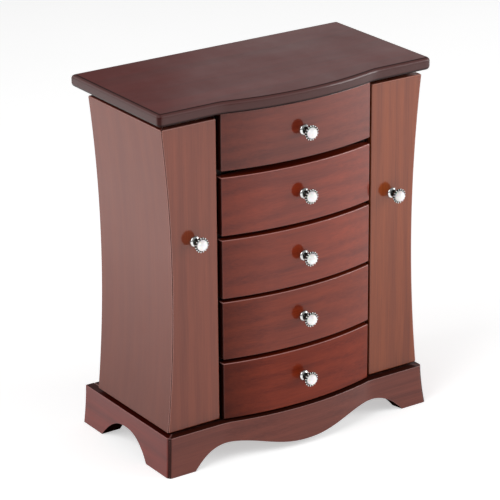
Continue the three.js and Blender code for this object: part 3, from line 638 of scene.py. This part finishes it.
LOOKS = {
    # The lid: painted shade on its rounded corners and on its rim.
    "lid": wood("cherry_lid", "X", 1, STAIN["lid"], 0.5, 0.2, 0.2, wear_and_highlight=0.12, corner=0.3,
                rim=STAIN["lid_edge_shade"]),
    # Fronts: end grain near black, partly a darker stain and partly painted shade in the gaps beside them.
    **{front: wood(f"cherry_{front}", "X", 2 + k, STAIN[front], 0.8, FRONT_COAT[k], wear_and_highlight=0.9, end=0.15,
                   light_sweep=FRONT_LIGHT_SWEEP[k])
       for k, front in enumerate(FRONTS)},
    **{f"{name}_door_front": wood(f"cherry_{name}_door_front", "Z", 7 + k, STAIN[f"{name}_door"],
                                  DOOR_FIGURE[k], wear_and_highlight=1.0, low=DOOR_LOW_SHADE[k])
       for k, (name, _) in enumerate(SIDES)},
    # The side boards get painted shade near the floor.
    **{f"{name}_door_side": wood(f"cherry_{name}_door_side", "Z", 9 + k, STAIN["side"], 0.28, 0.88, wear_and_highlight=1.0,
                                 low=0.76)
       for k, (name, _) in enumerate(SIDES)},
    "base_front": wood("cherry_base_front", "X", 11, STAIN["base_front"], **BASE_LOOK),
    "base_side": wood("cherry_base_side", "Y", 12, STAIN["base_side"], **BASE_LOOK),
    "frame": wood("cherry_frame", "X", 13, STAIN["base_front"], 0.7, 0.6, wear_and_highlight=0.2),
    # The ledge under the lid, its rounded rim painted near black as shade.
    "ledge": wood("dark_ledge", "X", 17, STAIN["ledge"], 0.6, 0.3, wear_and_highlight=0, rim=STAIN["hollow"]),
    # The inner wood's forward faces are painted nearly black: painted shade in the gaps between the fronts.
    "inner_x": wood("inner_wood_x", "X", 14, STAIN["inner"], **INNER_LOOK, wear_and_highlight=0, front=0.1),
    "inner_y": wood("inner_wood_y", "Y", 15, STAIN["inner"], **INNER_LOOK, wear_and_highlight=0.1),
    "inner_z": wood("inner_wood_z", "Z", 16, STAIN["inner"], **INNER_LOOK, wear_and_highlight=0, front=0.1),
    "sawn_shaded": wood("sawn_edge_shaded", "Y", 18, STAIN["sawn_shaded"], 0.9, 0, wear_and_highlight=0),
    "felt": felt("cream_felt", (0.76, 0.68, 0.54), (0.56, 0.48, 0.36)),
    "velvet": felt("cream_velvet", (0.76, 0.68, 0.55), (0.48, 0.40, 0.29), 1400.0, 0.9),
    "silver": metal("plated_silver", (0.80, 0.80, 0.79), (0.58, 0.57, 0.55), (0.08, 0.2)),
    # silver painted near black: painted dark reflection and shade on the knobs' necks and crowns
    "recess": metal("silver_painted_dark", (0.022, 0.024, 0.022), (0.012, 0.012, 0.011), (0.1, 0.25)),
    "brass": metal("polished_brass", (0.78, 0.58, 0.28), (0.52, 0.36, 0.16)),
    "steel": metal("screw_steel", (0.62, 0.60, 0.57), (0.38, 0.35, 0.32), (0.25, 0.45)),
    "pearl": pearl_look("pearl_shell"),
    "mirror": mirror_look("silvered_glass"),
}


# ---- base

def bow(x, depth):
    """How far a bowed edge stands forward of its straight ends."""
    reach = BOW_RADIUS + EASE_RADIUS
    ease_end = math.sqrt(2 * reach * depth - depth * depth)
    ease_start = ease_end * BOW_RADIUS / reach
    side = abs(x)
    if side >= ease_end:
        return 0
    if side > ease_start:
        return EASE_RADIUS - math.sqrt(EASE_RADIUS ** 2 - (ease_end - side) ** 2)
    return depth - BOW_RADIUS + math.sqrt(BOW_RADIUS ** 2 - side ** 2)


def flare(z):
    return BASE_FLARE * max(0, 1 - z / BASE["top"]) ** FLARE_POWER


def base_height(lower, share):
    return between(lower, BASE["top"], share)


def front_arch(x):
    """Lower edge of the front apron: feet, two arches and a drop in the middle."""
    side = abs(x)
    if side >= FOOT_INNER:
        return 0
    if side >= ARCH_PEAK_X:
        share = (side - ARCH_PEAK_X) / (FOOT_INNER - ARCH_PEAK_X)
        return ARCH_PEAK * (1 - share ** ARCH_CURVE["foot"])
    share = (side / ARCH_PEAK_X) ** ARCH_CURVE["middle"]
    return ARCH_PEAK - (ARCH_PEAK - ARCH_DROP) * (1 + math.cos(math.pi * share)) / 2


def plain_arch(along, middle, half):
    share = abs(along - middle) / half
    return 0 if share >= 1 else SIDE_ARCH["peak"] * (1 - share ** ARCH_CURVE["plain"])


def side_arch(y):
    return plain_arch(y, SIDE_ARCH["middle"], SIDE_ARCH["half"])


def press(v, start, end, new_end):
    """Squeezes what lies past start, so that end comes to new_end."""
    return v if v <= start else start + (v - start) * (new_end - start) / (end - start)


CORNER_START = BASE["half"] - BASE["corner"]
CORNER_SWEEP = BASE["corner"] * math.pi / 4
INNER_HALF = BASE["half"] - BASE["thick"]
INNER_FRONT = BASE["front"] + BASE["thick"]


def make_board(name, part, look, node, share):
    """A base board, whose cut edges underneath are left unlacquered and dark: partly bare wood, partly
    painted shade under the arches. Its mitred ends are hardly rounded.
    """
    board = piece(name, part, look, "case", node)
    board.data.materials.append(LOOKS["sawn_shaded"])
    for face in board.data.polygons:
        if face.normal.z < -0.1:
            face.material_index = 1
    soften(board, BASE["round"], 5, share=share)


def mitred(is_end):
    return lambda x, y, z: 0.05 if is_end(x, y) and 4 < z < BASE["top"] - 4 else 1


def make_front_board():
    end = CORNER_START + CORNER_SWEEP
    right = [*spaced(FOOT_INNER, CORNER_START, 3)[1:-1], *spaced(CORNER_START, end, 5)]
    stations = [*(-u for u in reversed(right)), *spaced(-FOOT_INNER, FOOT_INNER, 112), *right]

    def outer(u, share):
        side = min(abs(u), CORNER_START)
        z = base_height(front_arch(side), share)
        turn = (abs(u) - side) / BASE["corner"]
        x = side * (CORNER_START + flare(z)) / CORNER_START + BASE["corner"] * math.sin(turn)
        y = BASE["front"] - flare(z) - bow(side, BASE["bow"]) + BASE["corner"] * (1 - math.cos(turn))
        return (math.copysign(x, u), y, z)

    def inner(u, share):
        x = math.copysign(press(abs(u), FOOT_INNER, end, INNER_HALF), u)
        return (x, INNER_FRONT - bow(x, BASE["bow"]), base_height(front_arch(u), share))

    make_board("apron_front", slab(outer, inner, stations, 12), "base_front", "base_front",
               mitred(lambda x, y: abs(x) > INNER_HALF - 0.1))


def make_side_board(name, side):
    start = BASE["front"] + BASE["corner"] + GAP
    first = SIDE_ARCH["middle"] - SIDE_ARCH["half"]
    last = SIDE_ARCH["middle"] + SIDE_ARCH["half"]
    stations = [*spaced(start - CORNER_SWEEP, start, 5), *spaced(start, first, 5)[1:-1],
                *spaced(first, last, 40), *spaced(last, BASE["back"], 4)[1:]]

    def outer(v, share):
        along = max(v, start)
        z = base_height(side_arch(along), share)
        turn = (along - v) / BASE["corner"]
        x = BASE["half"] + flare(z) - BASE["corner"] * (1 - math.cos(turn))
        spread = flare(z) if v <= start else 0
        return (side * x, along - spread - BASE["corner"] * math.sin(turn), z)

    def inner(v, share):
        along = -press(-v, -first, -stations[0], -(INNER_FRONT + GAP))
        return (side * INNER_HALF, along, base_height(side_arch(v), share))

    make_board(f"apron_{name}", slab(outer, inner, stations, 12), "base_side", f"base_{name}",
               mitred(lambda x, y: y < INNER_FRONT))


def make_back_board():
    half = INNER_HALF - GAP
    middle = (half + BACK_ARCH_HALF) / 2
    stations = [-half, -middle, *spaced(-BACK_ARCH_HALF, BACK_ARCH_HALF, 60), middle, half]

    def face(y):
        return lambda x, share: (x, y, base_height(plain_arch(x, 0, BACK_ARCH_HALF), share))

    part = slab(face(BASE["back"]), face(BASE["back"] - BASE["thick"]), stations, 6)
    soften(piece("apron_back", part, "base_front", "case", "base_back"), 1.0, 3)


def make_foot_block(name, side):
    """A glue block behind a rear foot, cut to the same arch as the side board."""
    start, end = SIDE_ARCH["middle"] + FOOT_BLOCK["start"], BASE["back"] - BASE["thick"] - GAP
    last = SIDE_ARCH["middle"] + SIDE_ARCH["half"]
    stations = [*spaced(start, last, 16), *spaced(last, end, 4)[1:]]

    def face(x):
        return lambda v, share: (side * x, v, between(side_arch(v), FOOT_BLOCK["top"], share))

    part = slab(face(INNER_HALF - GAP), face(INNER_HALF - GAP - FOOT_BLOCK["thick"]), stations, 6)
    # Dark all over: partly bare wood, partly painted shade behind the foot.
    soften(piece(f"foot_block_{name}", part, "sawn_shaded", "case"), 0.6, 2)


# ---- fronts, drawers and knobs

def make_fronts():
    rise = FRONT_APEX + BOW_RADIUS
    outline = [(x, rise - math.sqrt(BOW_RADIUS ** 2 - x * x)) for x in spaced(-FRONT_HALF, FRONT_HALF, 56)]
    outline += [(FRONT_HALF, FRONT_FLAT), (-FRONT_HALF, FRONT_FLAT)]
    for node, heights in FRONTS.items():
        body = "case" if node == "top_false_front" else node.rsplit("_", 1)[0]
        soften(piece(f"{node}_board", prism(outline, *heights), node, body, node), 1.1, 4)


def middle_height(front):
    return sum(FRONTS[front]) / 2


def soft_floor(x, y, low, steps, height):
    """A lining over a rectangle. height(u, v) is its thickness; u and v go from 0 in the middle to 1."""
    def reach(value, ends):
        return abs(2 * value - sum(ends)) / (ends[1] - ends[0])

    def top(a, share):
        b = between(*y, share)
        return (a, b, low + height(reach(a, x), reach(b, y)))

    return slab(top, lambda a, share: (a, between(*y, share), low), spaced(*x, steps[0]), steps[1])


def drawer_heights(number):
    """Floor and rim of a drawer's box."""
    bottom, top = FRONTS[f"drawer_{number}_front"]
    support = FRONTS[f"drawer_{number + 1}_front"][1] + BOX["shelf"] if number < 4 else BASE["top"]
    return max(support + BOX["clear"], bottom - BOX["drop"]), top - BOX["below_front"]


def make_drawer(number):
    body = f"drawer_{number}"
    z0, z1 = drawer_heights(number)
    half, wall, seam = BOX["half"], BOX["wall"], BOX["seam"]
    y0, y1 = BOX["front"], BOX["back"]
    inner = half - wall - seam
    floor, rim = (z0 + BOX["clear"], z0 + BOX["floor"]), (z0, z1 - BOX["clear"])
    boards = merge(
        block((-half, -half + wall), (y0, y1), (z0, z1)),
        block((half - wall, half), (y0, y1), (z0, z1)),
        block((-inner, inner), (y1 - wall, y1 - GAP), rim),
        block((-inner, inner), (y0, y0 + wall), rim),
        block((-inner, inner), (y0 + wall + seam, y1 - wall - seam), floor),
    )
    soften(piece(f"{body}_box_boards", boards, "inner_y", body, f"{body}_box"), 0.7, 3)

    inside = half - wall - 0.2
    y0, y1 = y0 + wall + 0.2, y1 - wall - 0.2
    thick, bottom = LINING["thick"], floor[1] + 0.1
    lining = merge(*walls(inside, (y0, y1), (bottom, z1 - 3), thick, seam))
    soften(piece(f"{body}_wall_lining", lining, "felt", body), 0.5, 2)
    edge = inside - thick
    pad = soft_floor((-edge, edge), (y0 + thick, y1 - thick), bottom, (40, 30),
                     lambda u, v: 0.6 + 1.6 * max(0, 1 - max(u, v) ** 14) ** 0.5)
    piece(f"{body}_floor_lining", pad, "felt", body)

    centre = (0, BOX["front"] + wall, middle_height(f"{body}_front"))
    piece(f"{body}_knob_screw", lathe(KNOB_SCREW, 24, centre, "Y", -1), "steel", body)


def make_knob(name, x, y, z, body):
    """A waisted silver knob with a beaded crown, and the domed pearl set in it."""
    radial, across, outward = PRONG["size"]
    beads, sides = ball(1, (0, 0, 0), 12)
    parts = [lathe(KNOB_BODY, KNOB_TURN, (x, y, z), "Y")]
    for k in range(PRONG["count"]):
        angle = 2 * math.pi * (k + 0.5) / PRONG["count"]
        cos, sin = math.cos(angle), math.sin(angle)
        places = ((PRONG["radius"] + a * radial, b * across, PRONG["out"] - c * outward) for a, b, c in beads)
        bead = [(x + r * cos - s * sin, y - out, z + r * sin + s * cos) for r, s, out in places]
        parts.append((bead, sides))
    knob = piece(f"{name}_knob", merge(*parts), "silver", body, f"knob_{name}")
    # Faces past the flange get the near-black silver, a painted dark reflection and shade.
    knob.data.materials.append(LOOKS["recess"])
    turned = KNOB_TURN * (len(KNOB_BODY) - 1)
    for face in knob.data.polygons:
        if face.index < turned and y + SHIFT - face.center.y / MM > KNOB_FLANGE:
            face.material_index = 1

    radius, start, rise, end = PEARL["radius"], PEARL["start"], PEARL["rise"], PEARL["end"]
    dome = [(radius * math.cos(t), end - rise + rise * math.sin(t)) for t in quarter(14)[:-1]]
    profile = [(0, start), (radius - PEARL["foot"], start), *dome, (0, end)]
    piece(f"{name}_pearl", lathe(profile, 56, (x, y, z), "Y"), "pearl", body, f"pearl_{name}")


def make_knobs():
    make_knob("top_front", 0, FRONT_APEX, middle_height("top_false_front"), "case")
    for name, side in SIDES:
        make_knob(f"{name}_door", side * KNOB_SIDE["x"], DOOR["front"], KNOB_SIDE["z"], f"{name}_door")
    for k in range(1, 5):
        make_knob(f"drawer_{k}", 0, FRONT_APEX, middle_height(f"drawer_{k}_front"), f"drawer_{k}")


# ---- lid

def lid_outline():
    corner = LID["corner"]
    inset, low = LID["half"] - corner, LID["front"] + corner
    return [*((x, LID["front"] - bow(x, LID["bow"])) for x in spaced(-inset, inset, 110)),
            *arc(inset, low, corner, -90, 6), (LID["half"], LID["back"]), (-LID["half"], LID["back"]),
            *arc(-inset, low, corner, 180, 6)[:-1]]


def make_lid():
    board = piece("lid_board", prism(lid_outline(), LID_BOTTOM, LID["top"]), "lid", "lid", "lid_panel")

    def rounding(x, y, z):
        return LID["back_share"] if abs(x) > LID["half"] - 1 and y > LID["back"] - 1 else 1

    soften(board, LID["round"], 6, 50, rounding)
    settle(board)
    rim = MIRROR["rim"] + GAP
    half = MIRROR["half"] + rim
    recess = block((-half, half), (MIRROR["front"] - rim, MIRROR["back"] + rim),
                   (LID_BOTTOM - 1, LID_BOTTOM + MIRROR["recess"]))
    reach = HINGE["length"] / 2 + MORTISE["margin"]
    mortises = [block((side * HINGE["x"] - reach, side * HINGE["x"] + reach), MORTISE["y"],
                      (LID_BOTTOM - 1, LID_BOTTOM + MORTISE["depth"])) for _, side in SIDES]
    carve(board, recess, *mortises)
    board.data.shade_smooth()
    board.modifiers.new("Normals", "WEIGHTED_NORMAL").keep_sharp = True
    work = bmesh.new()
    work.from_mesh(board.data)
    for edge in work.edges:
        edge.smooth = not sharper(edge, 60)
    work.to_mesh(board.data)
    work.free()


def make_mirror():
    """A moulded frame with mitred corners round a bevelled mirror."""
    half, front, back = MIRROR["half"], MIRROR["front"], MIRROR["back"]
    low, high = MIRROR["rim_bottom"], LID_BOTTOM + MIRROR["recess"] - GAP
    profile = [(MOULDING[0][0], high), *((out, low + up) for out, up in MOULDING), (MOULDING[-1][0], high)]
    corners = [(half, front, 1, -1), (half, back, 1, 1), (-half, back, -1, 1), (-half, front, -1, -1)]
    rings = [[(x + out * sx, y + out * sy, z) for out, z in profile] for x, y, sx, sy in corners]
    soften(piece("mirror_moulding", tube(rings, closed=True), "frame", "lid", "mirror_frame"), 0.25, 2, 30)

    levels = ((0, high), (0, MIRROR["bottom"] + MIRROR["bevel_rise"]), (MIRROR["bevel"], MIRROR["bottom"]))
    rings = [[(x - inset * sx, y - inset * sy, z) for x, y, sx, sy in corners] for inset, z in levels]
    glass = piece("mirror_glass", tube(rings), "mirror", "lid", "mirror")
    for polygon in glass.data.polygons:
        polygon.use_smooth = False


def hinge_leaf(parity, plate_x, plate_y, neck_x, neck_y):
    """One leaf round a barrel along Z, as a part in the hinge's own system."""
    reach, radius = HINGE["length"] / 2, HINGE["corner"]
    lies_flat = plate_x[1] - plate_x[0] > plate_y[1] - plate_y[0]
    (start, end), through = (plate_x, plate_y) if lies_flat else (plate_y, plate_x)
    plan = [(start, -reach), *arc(end - radius, -reach + radius, radius, -90),
            *arc(end - radius, reach - radius, radius, 0), (start, reach)]
    coordinates, faces = prism(plan, *through)
    parts = [([(a, t, z) if lies_flat else (t, a, z) for a, z, t in coordinates], faces)]
    pitch = HINGE["length"] / HINGE["knuckles"]
    for k in range(parity, HINGE["knuckles"], 2):
        span = (k * pitch - reach + GAP / 2, (k + 1) * pitch - reach - GAP / 2)
        parts.append(lathe(eased(HINGE["bore"], HINGE["barrel"], *span, 0.2), 32))
        parts.append(block(neck_x, neck_y, span))
    return merge(*parts)


def make_lid_hinge(name, side):
    """Two leaves, their pin and screws. The barrel lies along X; a leaf's own X is down, its Y forward."""
    x, y, z = side * HINGE["x"], LID_AXIS["y"], LID_AXIS["z"]
    near = (HINGE["clear"], HINGE["clear"] + HINGE["thick"])
    along = (HINGE["start"], HINGE["end"])
    leaves = {
        "case": hinge_leaf(0, along, near, HINGE["neck"], (HINGE["neck_start"], near[1])),
        "lid": hinge_leaf(1, (-near[1], -near[0]), along, (-near[1], -HINGE["neck_start"]), HINGE["neck"]),
    }
    for body, (coordinates, faces) in leaves.items():
        placed = [(x + w, y - v, z - u) for u, v, w in coordinates]
        plate = piece(f"lid_hinge_{name}_{body}_plate", (placed, faces), "brass", body,
                      f"lid_hinge_{name}_{body}_leaf")
        soften(plate, 0.2, 2, 50)
    end = HINGE["length"] / 2 + GAP
    shaft = [(r, -end - out) for r, out in reversed(PIN_HEAD)] + [(r, end + out) for r, out in PIN_HEAD]
    piece(f"lid_hinge_{name}_rod", lathe(shaft, 32, (x, y, z), "X"), "brass", "case", f"lid_hinge_{name}_pin")
    for k, off in enumerate(HINGE["screws"]):
        screw = lathe(HINGE_SCREW, 24, (x + off, y - near[0], z - HINGE["below"]), "Y", -1)
        piece(f"lid_hinge_{name}_case_screw_{k}", screw, "brass", "case")


# ---- doors and towers

def tower_half(z):
    return WAIST["half"] + (z - WAIST["z"]) ** 2 / (2 * WAIST["radius"])


def upright(low, high, place):
    """A surface between two heights, from place(s, z), which gives the x and y of its stations."""
    def surface(s, share):
        z = between(low, high, share)
        return (*place(s, z), z)
    return surface


def make_door(name, side):
    """An L of two boards with a fine mitred seam, and a stile down the side board's rear edge."""
    body = f"{name}_door"
    low, high, front, thick = DOOR["bottom"], DOOR["top"], DOOR["front"], DOOR["thick"]
    layers = ((0, DOOR_SEAM["outside"]), (thick, DOOR_SEAM["inside"]))

    def front_face(inset, seam):
        return upright(low, high, lambda s, z: (
            side * between(DOOR["inner"], tower_half(z) - inset - seam, s), front + inset))

    def side_face(inset, seam):
        return upright(low, high, lambda s, z: (
            side * (tower_half(z) - inset), between(front + inset + seam / 2, DOOR["rear"], s)))

    def stile_face(y):
        return upright(low, high, lambda s, z: (
            side * between(STILE["inner"], tower_half(z) - thick - 0.1, s), y))

    def corner(x, y, z):
        """The mitred corner is rounded less than the other edges."""
        return 0.35 if abs(x) > 120 and y < front + thick + 1 and low + 3 < z < high - 3 else 1

    for part, face, steps in (("front", front_face, 6), ("side", side_face, 10)):
        faces = (face(*layer) for layer in layers)
        panel = piece(f"{body}_{part}_panel", slab(*faces, spaced(0, 1, steps), 40), f"{body}_{part}", body,
                      f"{body}_{part}")
        soften(panel, DOOR["round"], 4, share=corner)
    faces = (stile_face(DOOR["rear"] - STILE["depth"]), stile_face(DOOR["rear"] - 0.5))
    soften(piece(f"{body}_stile", slab(*faces, spaced(0, 1, 2), 40), "inner_z", body), 1.0, 3)
    make_door_lining(side, body)


def make_door_lining(side, body):
    """A felt panel on the inside of the side board, and the magnets that hold the door shut."""
    y0 = DOOR["front"] + DOOR["thick"] + LINING["side_margin"]
    y1 = DOOR["rear"] - STILE["depth"] - LINING["side_margin"]

    def face(inset):
        return upright(DOOR["bottom"] + LINING["margin"], DOOR["top"] - LINING["margin"], lambda s, z: (
            side * (tower_half(z) - DOOR["thick"] - inset), between(y0, y1, s)))

    lining = slab(face(0.1), face(0.1 + LINING["thick"]), spaced(0, 1, 10), 32)
    soften(piece(f"{body}_felt", lining, "felt", body), 0.5, 2)
    away = MAGNET["from_end"]
    for level, z in (("upper", DOOR["top"] - away), ("lower", DOOR["bottom"] + away)):
        centre = (side * (WALL_OUTER + MAGNET["from_wall"]), DOOR["front"] + DOOR["thick"], z)
        disc = lathe(eased(0, MAGNET["radius"], -MAGNET["depth"], 0.0, 0.3), 32, centre, "Y")
        piece(f"{body}_{level}_magnet", disc, "steel", body)


def make_pivots(name, side):
    spot = (side * PIVOT["x"], PIVOT["y"], 0)
    depth = PIVOT["depth"]
    for level, end, span in (("upper", "top", (DOOR["top"] - depth, PIVOT["top"])),
                             ("lower", "bottom", (BASE["top"] - PIVOT["below"], DOOR["bottom"] + depth))):
        pin = lathe(eased(0, PIVOT["radius"], *span, 0.25), 32, spot)
        piece(f"{name}_door_{level}_pivot", pin, "brass", "case", f"{name}_door_{end}_pin")
    ring = eased(PIVOT["bore"], PIVOT["washer"], BASE["top"] + GAP, DOOR["bottom"] - GAP, 0.3)
    piece(f"{name}_door_ring", lathe(ring, 40, spot), "brass", "case", f"{name}_door_washer")


def make_hooks(name, side):
    """A plate with rounded ends, J-hooks with ball tips, and two screws, on a tower's inner wall."""
    reach = (HOOKS["count"] - 1) * HOOKS["spacing"] / 2
    wall, z = WALL_OUTER + GAP, HOOKS["z"]
    radius = HOOKS["half"] / 2
    end, low, high = reach + HOOKS["end"] - radius, z - radius, z + radius
    spots = ((end, low), (end, high), (-end, high), (-end, low))
    outline = [point for k, spot in enumerate(spots) for point in arc(*spot, radius, 90 * k - 90)]
    coordinates, faces = prism(outline, wall, wall + HOOKS["plate"])
    plate = piece(f"hook_plate_{name}", ([(side * out, y, up) for y, up, out in coordinates], faces), "brass",
                  "case", f"necklace_hooks_{name}")
    soften(plate, 0.4, 3, 50)
    parts = []
    for y in spaced(-reach, reach, HOOKS["count"] - 1):
        path = [(side * (wall + out), y, z + up) for out, up in HOOK_PATH]
        parts += [wire(path, HOOKS["wire"]), ball(HOOKS["ball"], path[-1], 14),
                  lathe(HOOK_COLLAR, 20, (side * wall, y, z + HOOK_PATH[0][1]), "X", side)]
    piece(f"hooks_{name}", merge(*parts), "brass", "case")
    for k, y in enumerate((-reach - HOOKS["screw"], reach + HOOKS["screw"])):
        screw = lathe(HOOK_SCREW, 20, (side * wall, y, z), "X", side)
        piece(f"hook_screw_{name}_{k}", screw, "brass", "case")


# ---- case and tray

def make_case():
    for name, _ in SIDES:
        keep(f"case_{name}_wall", "inner_z", 0.8)
    for k in range(1, 5):
        keep(f"shelf_{k}", "inner_x", 0.6)
    keep("case_back", "frame", 1.0)
    keep("case_top_frame", "ledge", 0.5)
    keep("base_board", "inner_x", 0.6)


def make_tray():
    """Walls and floor, lined inside and bare wood outside."""
    half, front, back, wall = TRAY["half"], TRAY["front"], TRAY["back"], TRAY["wall"]
    z0, z1, room = TRAY["floor"], TRAY["top"], wall + TRAY["seam"]
    shell = merge(*walls(half, (front, back), (z0, z1), wall, TRAY["seam"]),
                  block((room - half, half - room), (front + room, back - room), (z0, z0 + wall)))
    tray = piece("tray_lining", shell, "felt", "case", "top_tray")
    soften(tray, 0.9, 3)
    # The bare outside takes inner wood, whose forward face is painted dark as shade in the gap under the top
    # front.
    tray.data.materials.append(LOOKS["inner_x"])
    for face in tray.data.polygons:
        x, y, z = face.center / MM - Vector((0, SHIFT, 0))
        if min(half - abs(x), y - front, back - y, z - z0) < 0.1:
            face.material_index = 1


def make_tray_fittings():
    """A T-shaped partition, ring rolls on its left and two bins on its right."""
    low, room, thick = TRAY["floor"] + TRAY["wall"] + GAP, TRAY["wall"] + GAP, DIVIDER["thick"]
    x0, x1, far = DIVIDER["x"], DIVIDER["x"] + thick, TRAY["half"] - room
    y0, y1 = TRAY["front"] + room, TRAY["back"] - room
    middle = (y0 + y1) / 2
    outline = [(x0, y0), (x1, y0), (x1, middle - thick), (far, middle - thick), (far, middle), (x1, middle),
               (x1, y1), (x0, y1)]
    board = prism(outline, low, DIVIDER["top"])
    soften(piece("tray_partition", board, "felt", "case", "tray_divider"), 0.9, 3)
    make_ring_rolls((room + GAP - TRAY["half"], x0 - 2 * GAP), (y0 + GAP, y1 - GAP), low)
    clear = BIN_PAD["clear"]

    def height(u, v):
        return BIN_PAD["edge"] + BIN_PAD["crown"] * max(0, (1 - u ** 8) * (1 - v ** 8)) ** 0.6

    for k, (start, end) in enumerate(((y0, middle - thick), (middle, y1))):
        across, along = (x1 + clear, far - clear), (start + clear, end - clear)
        pad = soft_floor(across, along, low, (30, 24), height)
        piece(f"tray_bin_pad_{k}", pad, "felt", "case")


def make_ring_rolls(x, y, low):
    """Padded rolls side by side, with the slits between them that rings are pushed into."""
    count, slit, steps = ROLLS["count"], ROLLS["slit"], ROLLS["steps"]
    width = (y[1] - y[0]) / count
    stations = [y[0] + width * (roll + (1 - math.cos(math.pi * k / steps)) / 2)
                for roll in range(count) for k in range(steps)] + [y[1]]

    def crest(v, share):
        roll = (v - y[0]) / width
        across = abs(2 * (roll - math.floor(roll)) - 1) if v < y[1] else 1
        high = slit + ROLLS["wobble"] * math.sin(9 * share + 2.1 * math.floor(roll))
        dome = math.sqrt(max(0, 1 - across ** 2.4))
        fall = 1 - max(0, 1 - abs(2 * share - 1) ** 12) ** 0.5
        return ROLLS["top"] - slit + high * dome * (1 - ROLLS["dip"] * fall) - ROLLS["droop"] * fall

    pad = slab(lambda v, share: (between(*x, share), v, crest(v, share)),
               lambda v, share: (between(*x, share), v, low), stations, 36)
    piece("ring_rolls", pad, "velvet", "case", "ring_pad")


# ---- stage, lights and camera

def make_stage():
    size = 6.0
    mesh = bpy.data.meshes.new("floor")
    corners = [(-size, -size, 0), (size, -size, 0), (size, size, 0), (-size, size, 0)]
    mesh.from_pydata(corners, [], [(0, 1, 2, 3)])
    g = Graph("pale_floor")
    cloud = g.noise(g.place(), 3.0, 3.0)
    colour = g.ramp(cloud, [(0.3, (0.84, 0.84, 0.84)), (0.7, (0.86, 0.86, 0.86))])
    gloss = g.stretch(cloud, 0.3, 0.7, 0.75, 0.85)
    mesh.materials.append(g.finish(colour, gloss, Emission_Color=(1.0, 1.0, 1.0), Emission_Strength=0.5,
                                   Specular_IOR_Level=0.1))
    link(bpy.data.objects.new("floor", mesh))


def softbox(name, place, aim, size, power):
    light = bpy.data.lights.new(name, "AREA")
    light.shape = "RECTANGLE"
    light.size, light.size_y = size
    light.energy = power
    obj = link(bpy.data.objects.new(name, light))
    obj.location = place
    obj.rotation_euler = (Vector(aim) - Vector(place)).to_track_quat("-Z", "Y").to_euler()


def make_lights():
    """Soft boxes, placed and sized in metres, in an even white room."""
    softbox("high_left", (-2.1, -0.4, 2.0), (0, 0, 0.2), (2.0, 2.0), 40)
    softbox("low_right", (1.75, -1.05, 0.85), (0, 0, 0.18), (1.1, 0.9), 18)
    softbox("front_card", (1.1, -1.9, 1.1), (0, 0, 0.3), (2.2, 1.6), 9)
    softbox("left_card", (-1.4, 1.5, 0.75), (-0.1, 0, 0.35), (1.2, 0.9), 3.4)
    softbox("back_card", (1.25, 1.3, 0.95), (0.1, 0.1, 0.39), (0.9, 0.6), 1.0)
    world = bpy.data.worlds.new("studio")
    world.use_nodes = True
    background = world.node_tree.nodes["Background"].inputs
    background["Color"].default_value = (1, 1, 1, 1)
    background["Strength"].default_value = 0.27
    bpy.context.scene.world = world
    bpy.context.scene.view_settings.view_transform = "Standard"


def make_camera():
    """The main view: its direction, its roll about that, and its distance from the target."""
    lens = bpy.data.cameras.new("camera")
    lens.lens = CAMERA["lens"]
    lens.sensor_width = 36
    lens.clip_end = 100
    camera = link(bpy.data.objects.new("camera", lens))
    azimuth, elevation, roll = (math.radians(CAMERA[key]) for key in ("azimuth", "elevation", "roll"))
    camera.matrix_world = (
        Matrix.Translation(points([CAMERA["target"]])[0]) @ Matrix.Rotation(azimuth, 4, "Z")
        @ Matrix.Rotation(math.pi / 2 - elevation, 4, "X") @ Matrix.Rotation(roll, 4, "Z")
        @ Matrix.Translation((0, 0, CAMERA["distance"] * MM)))
    bpy.context.scene.camera = camera


make_camera()
make_stage()
make_lights()
make_case()
make_front_board()
make_back_board()
make_fronts()
for drawer in range(1, 5):
    make_drawer(drawer)
make_knobs()
make_lid()
make_mirror()
make_tray()
make_tray_fittings()
for tower in SIDES:
    make_side_board(*tower)
    make_foot_block(*tower)
    make_lid_hinge(*tower)
    make_door(*tower)
    make_pivots(*tower)
    make_hooks(*tower)
